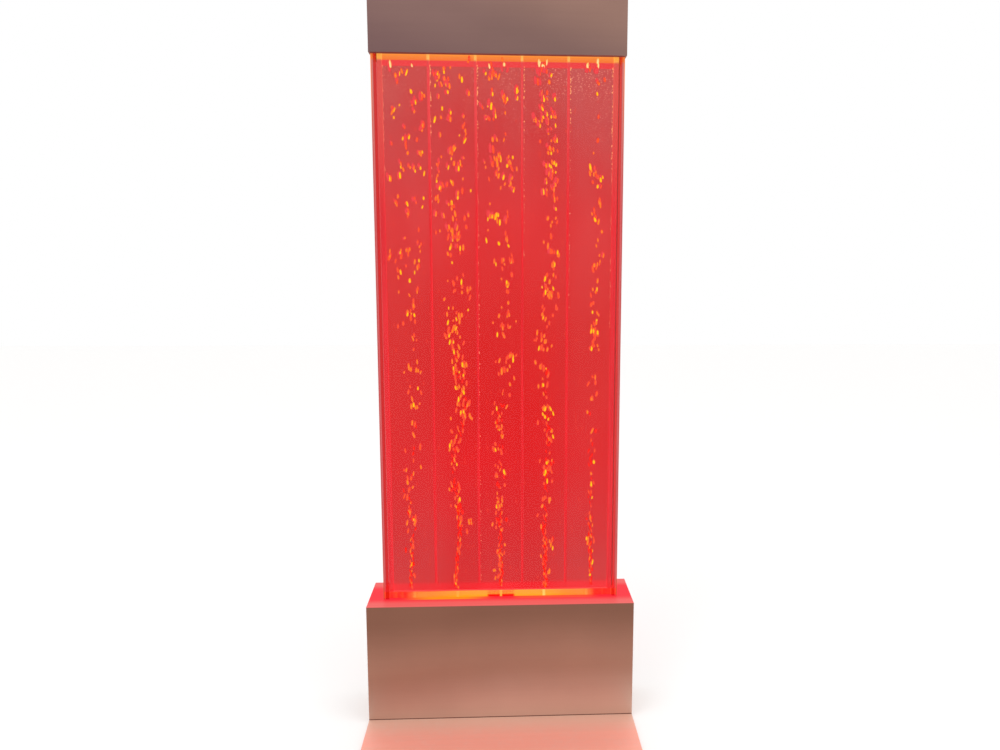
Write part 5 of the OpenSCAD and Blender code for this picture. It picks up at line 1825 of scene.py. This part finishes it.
class Lamp(NamedTuple):
    """One soft studio light: its place, its power in watts and its width in metres."""

    name: str
    place: Point
    power: float
    size: float


@dataclass
class Studio:
    """A pale floor, soft light and the camera at the photograph's place.

    Attributes:
        camera_place, pitch_down, yaw_right, roll: the solved place, and the turns in degrees.
        focal_share: the focal length as a share of the sensor's width.
        shift: the frame's shift as the photograph has it.
        sensor: the sensor's width in millimetres.
        floor_half: half the floor's width.
        aim_h: the height that the lamps point at.
        lamps: the soft lights.
    """

    camera_place: Point = (-0.0005, -1.8947, 1.0332)
    pitch_down: float = 8.2
    yaw_right: float = 2.992
    roll: float = 0.169
    focal_share: float = 0.85
    shift: tuple[float, float] = (-0.0438, 0.0114)
    sensor: float = 36.0
    clip_end: float = 60.0
    floor_half: float = 9.0
    aim_h: float = 0.7
    lamps: tuple[Lamp, ...] = (
        Lamp("key_light", (-1.8, -2.2, 2.8), 24.0, 2.0),
        Lamp("fill_light", (2.2, -1.6, 2.2), 16.0, 2.4),
    )

    def build(self) -> None:
        """Sets the camera, the floor and the lights."""
        self.set_camera()
        self.lay_floor()
        self.light_world()
        for lamp in self.lamps:
            self.hang(lamp)
        bpy.context.scene.view_settings.view_transform = "Standard"

    def set_camera(self) -> None:
        """Places the camera that was solved from the box, panel and canopy corners."""
        pitch, yaw, roll = (math.radians(a) for a in (self.pitch_down, self.yaw_right, self.roll))
        ahead = Vector((math.sin(yaw) * math.cos(pitch), math.cos(yaw) * math.cos(pitch), -math.sin(pitch)))
        level = Vector((math.cos(yaw), -math.sin(yaw), 0.0))
        upright = level.cross(ahead)
        right = level * math.cos(roll) + upright * math.sin(roll)
        up = upright * math.cos(roll) - level * math.sin(roll)
        turn = Matrix((right, up, -ahead)).transposed().to_4x4()
        data = bpy.data.cameras.new("camera")
        data.sensor_width = self.sensor
        data.lens = self.focal_share * self.sensor
        data.shift_x, data.shift_y = self.shift
        data.clip_end = self.clip_end
        camera = bpy.data.objects.new("camera", data)
        camera.matrix_world = Matrix.Translation(self.camera_place) @ turn
        bpy.context.scene.collection.objects.link(camera)
        bpy.context.scene.camera = camera

    def lay_floor(self) -> None:
        """Lays the pale floor."""
        half = self.floor_half
        corners = [(-half, -half, 0), (half, -half, 0), (half, half, 0), (-half, half, 0)]
        mesh = bpy.data.meshes.new("studio_floor")
        mesh.from_pydata(corners, [], [[0, 1, 2, 3]])
        mesh.materials.append(PlainStage("studio_floor").material())
        floor = bpy.data.objects.new("studio_floor", mesh)
        bpy.context.scene.collection.objects.link(floor)

    def light_world(self) -> None:
        """Sets the even white surroundings."""
        world = bpy.data.worlds.new("studio")
        world.use_nodes = True
        background = world.node_tree.nodes["Background"]
        background.inputs["Color"].default_value = (1.0, 1.0, 1.0, 1.0)
        background.inputs["Strength"].default_value = 1.0
        bpy.context.scene.world = world

    def hang(self, lamp: Lamp) -> None:
        """Adds one soft light that points at the panel's middle.

        Args:
            lamp: the light.
        """
        data = bpy.data.lights.new(lamp.name, "AREA")
        data.energy = lamp.power
        data.size = lamp.size
        light = bpy.data.objects.new(lamp.name, data)
        light.location = lamp.place
        light.rotation_mode = "QUATERNION"
        aim = Vector((0.0, 0.0, self.aim_h)) - Vector(lamp.place)
        light.rotation_quaternion = aim.to_track_quat("-Z", "Y")
        bpy.context.scene.collection.objects.link(light)


def main() -> None:
    """Builds the studio and the object's sub-assemblies in order."""
    logging.basicConfig(level=logging.INFO, format="%(message)s")
    for assembly in (Studio(), Steelwork(), Tank(), Fittings()):
        LOG.info("building %s", type(assembly).__name__)
        assembly.build()


if __name__ == "__main__":
    main()
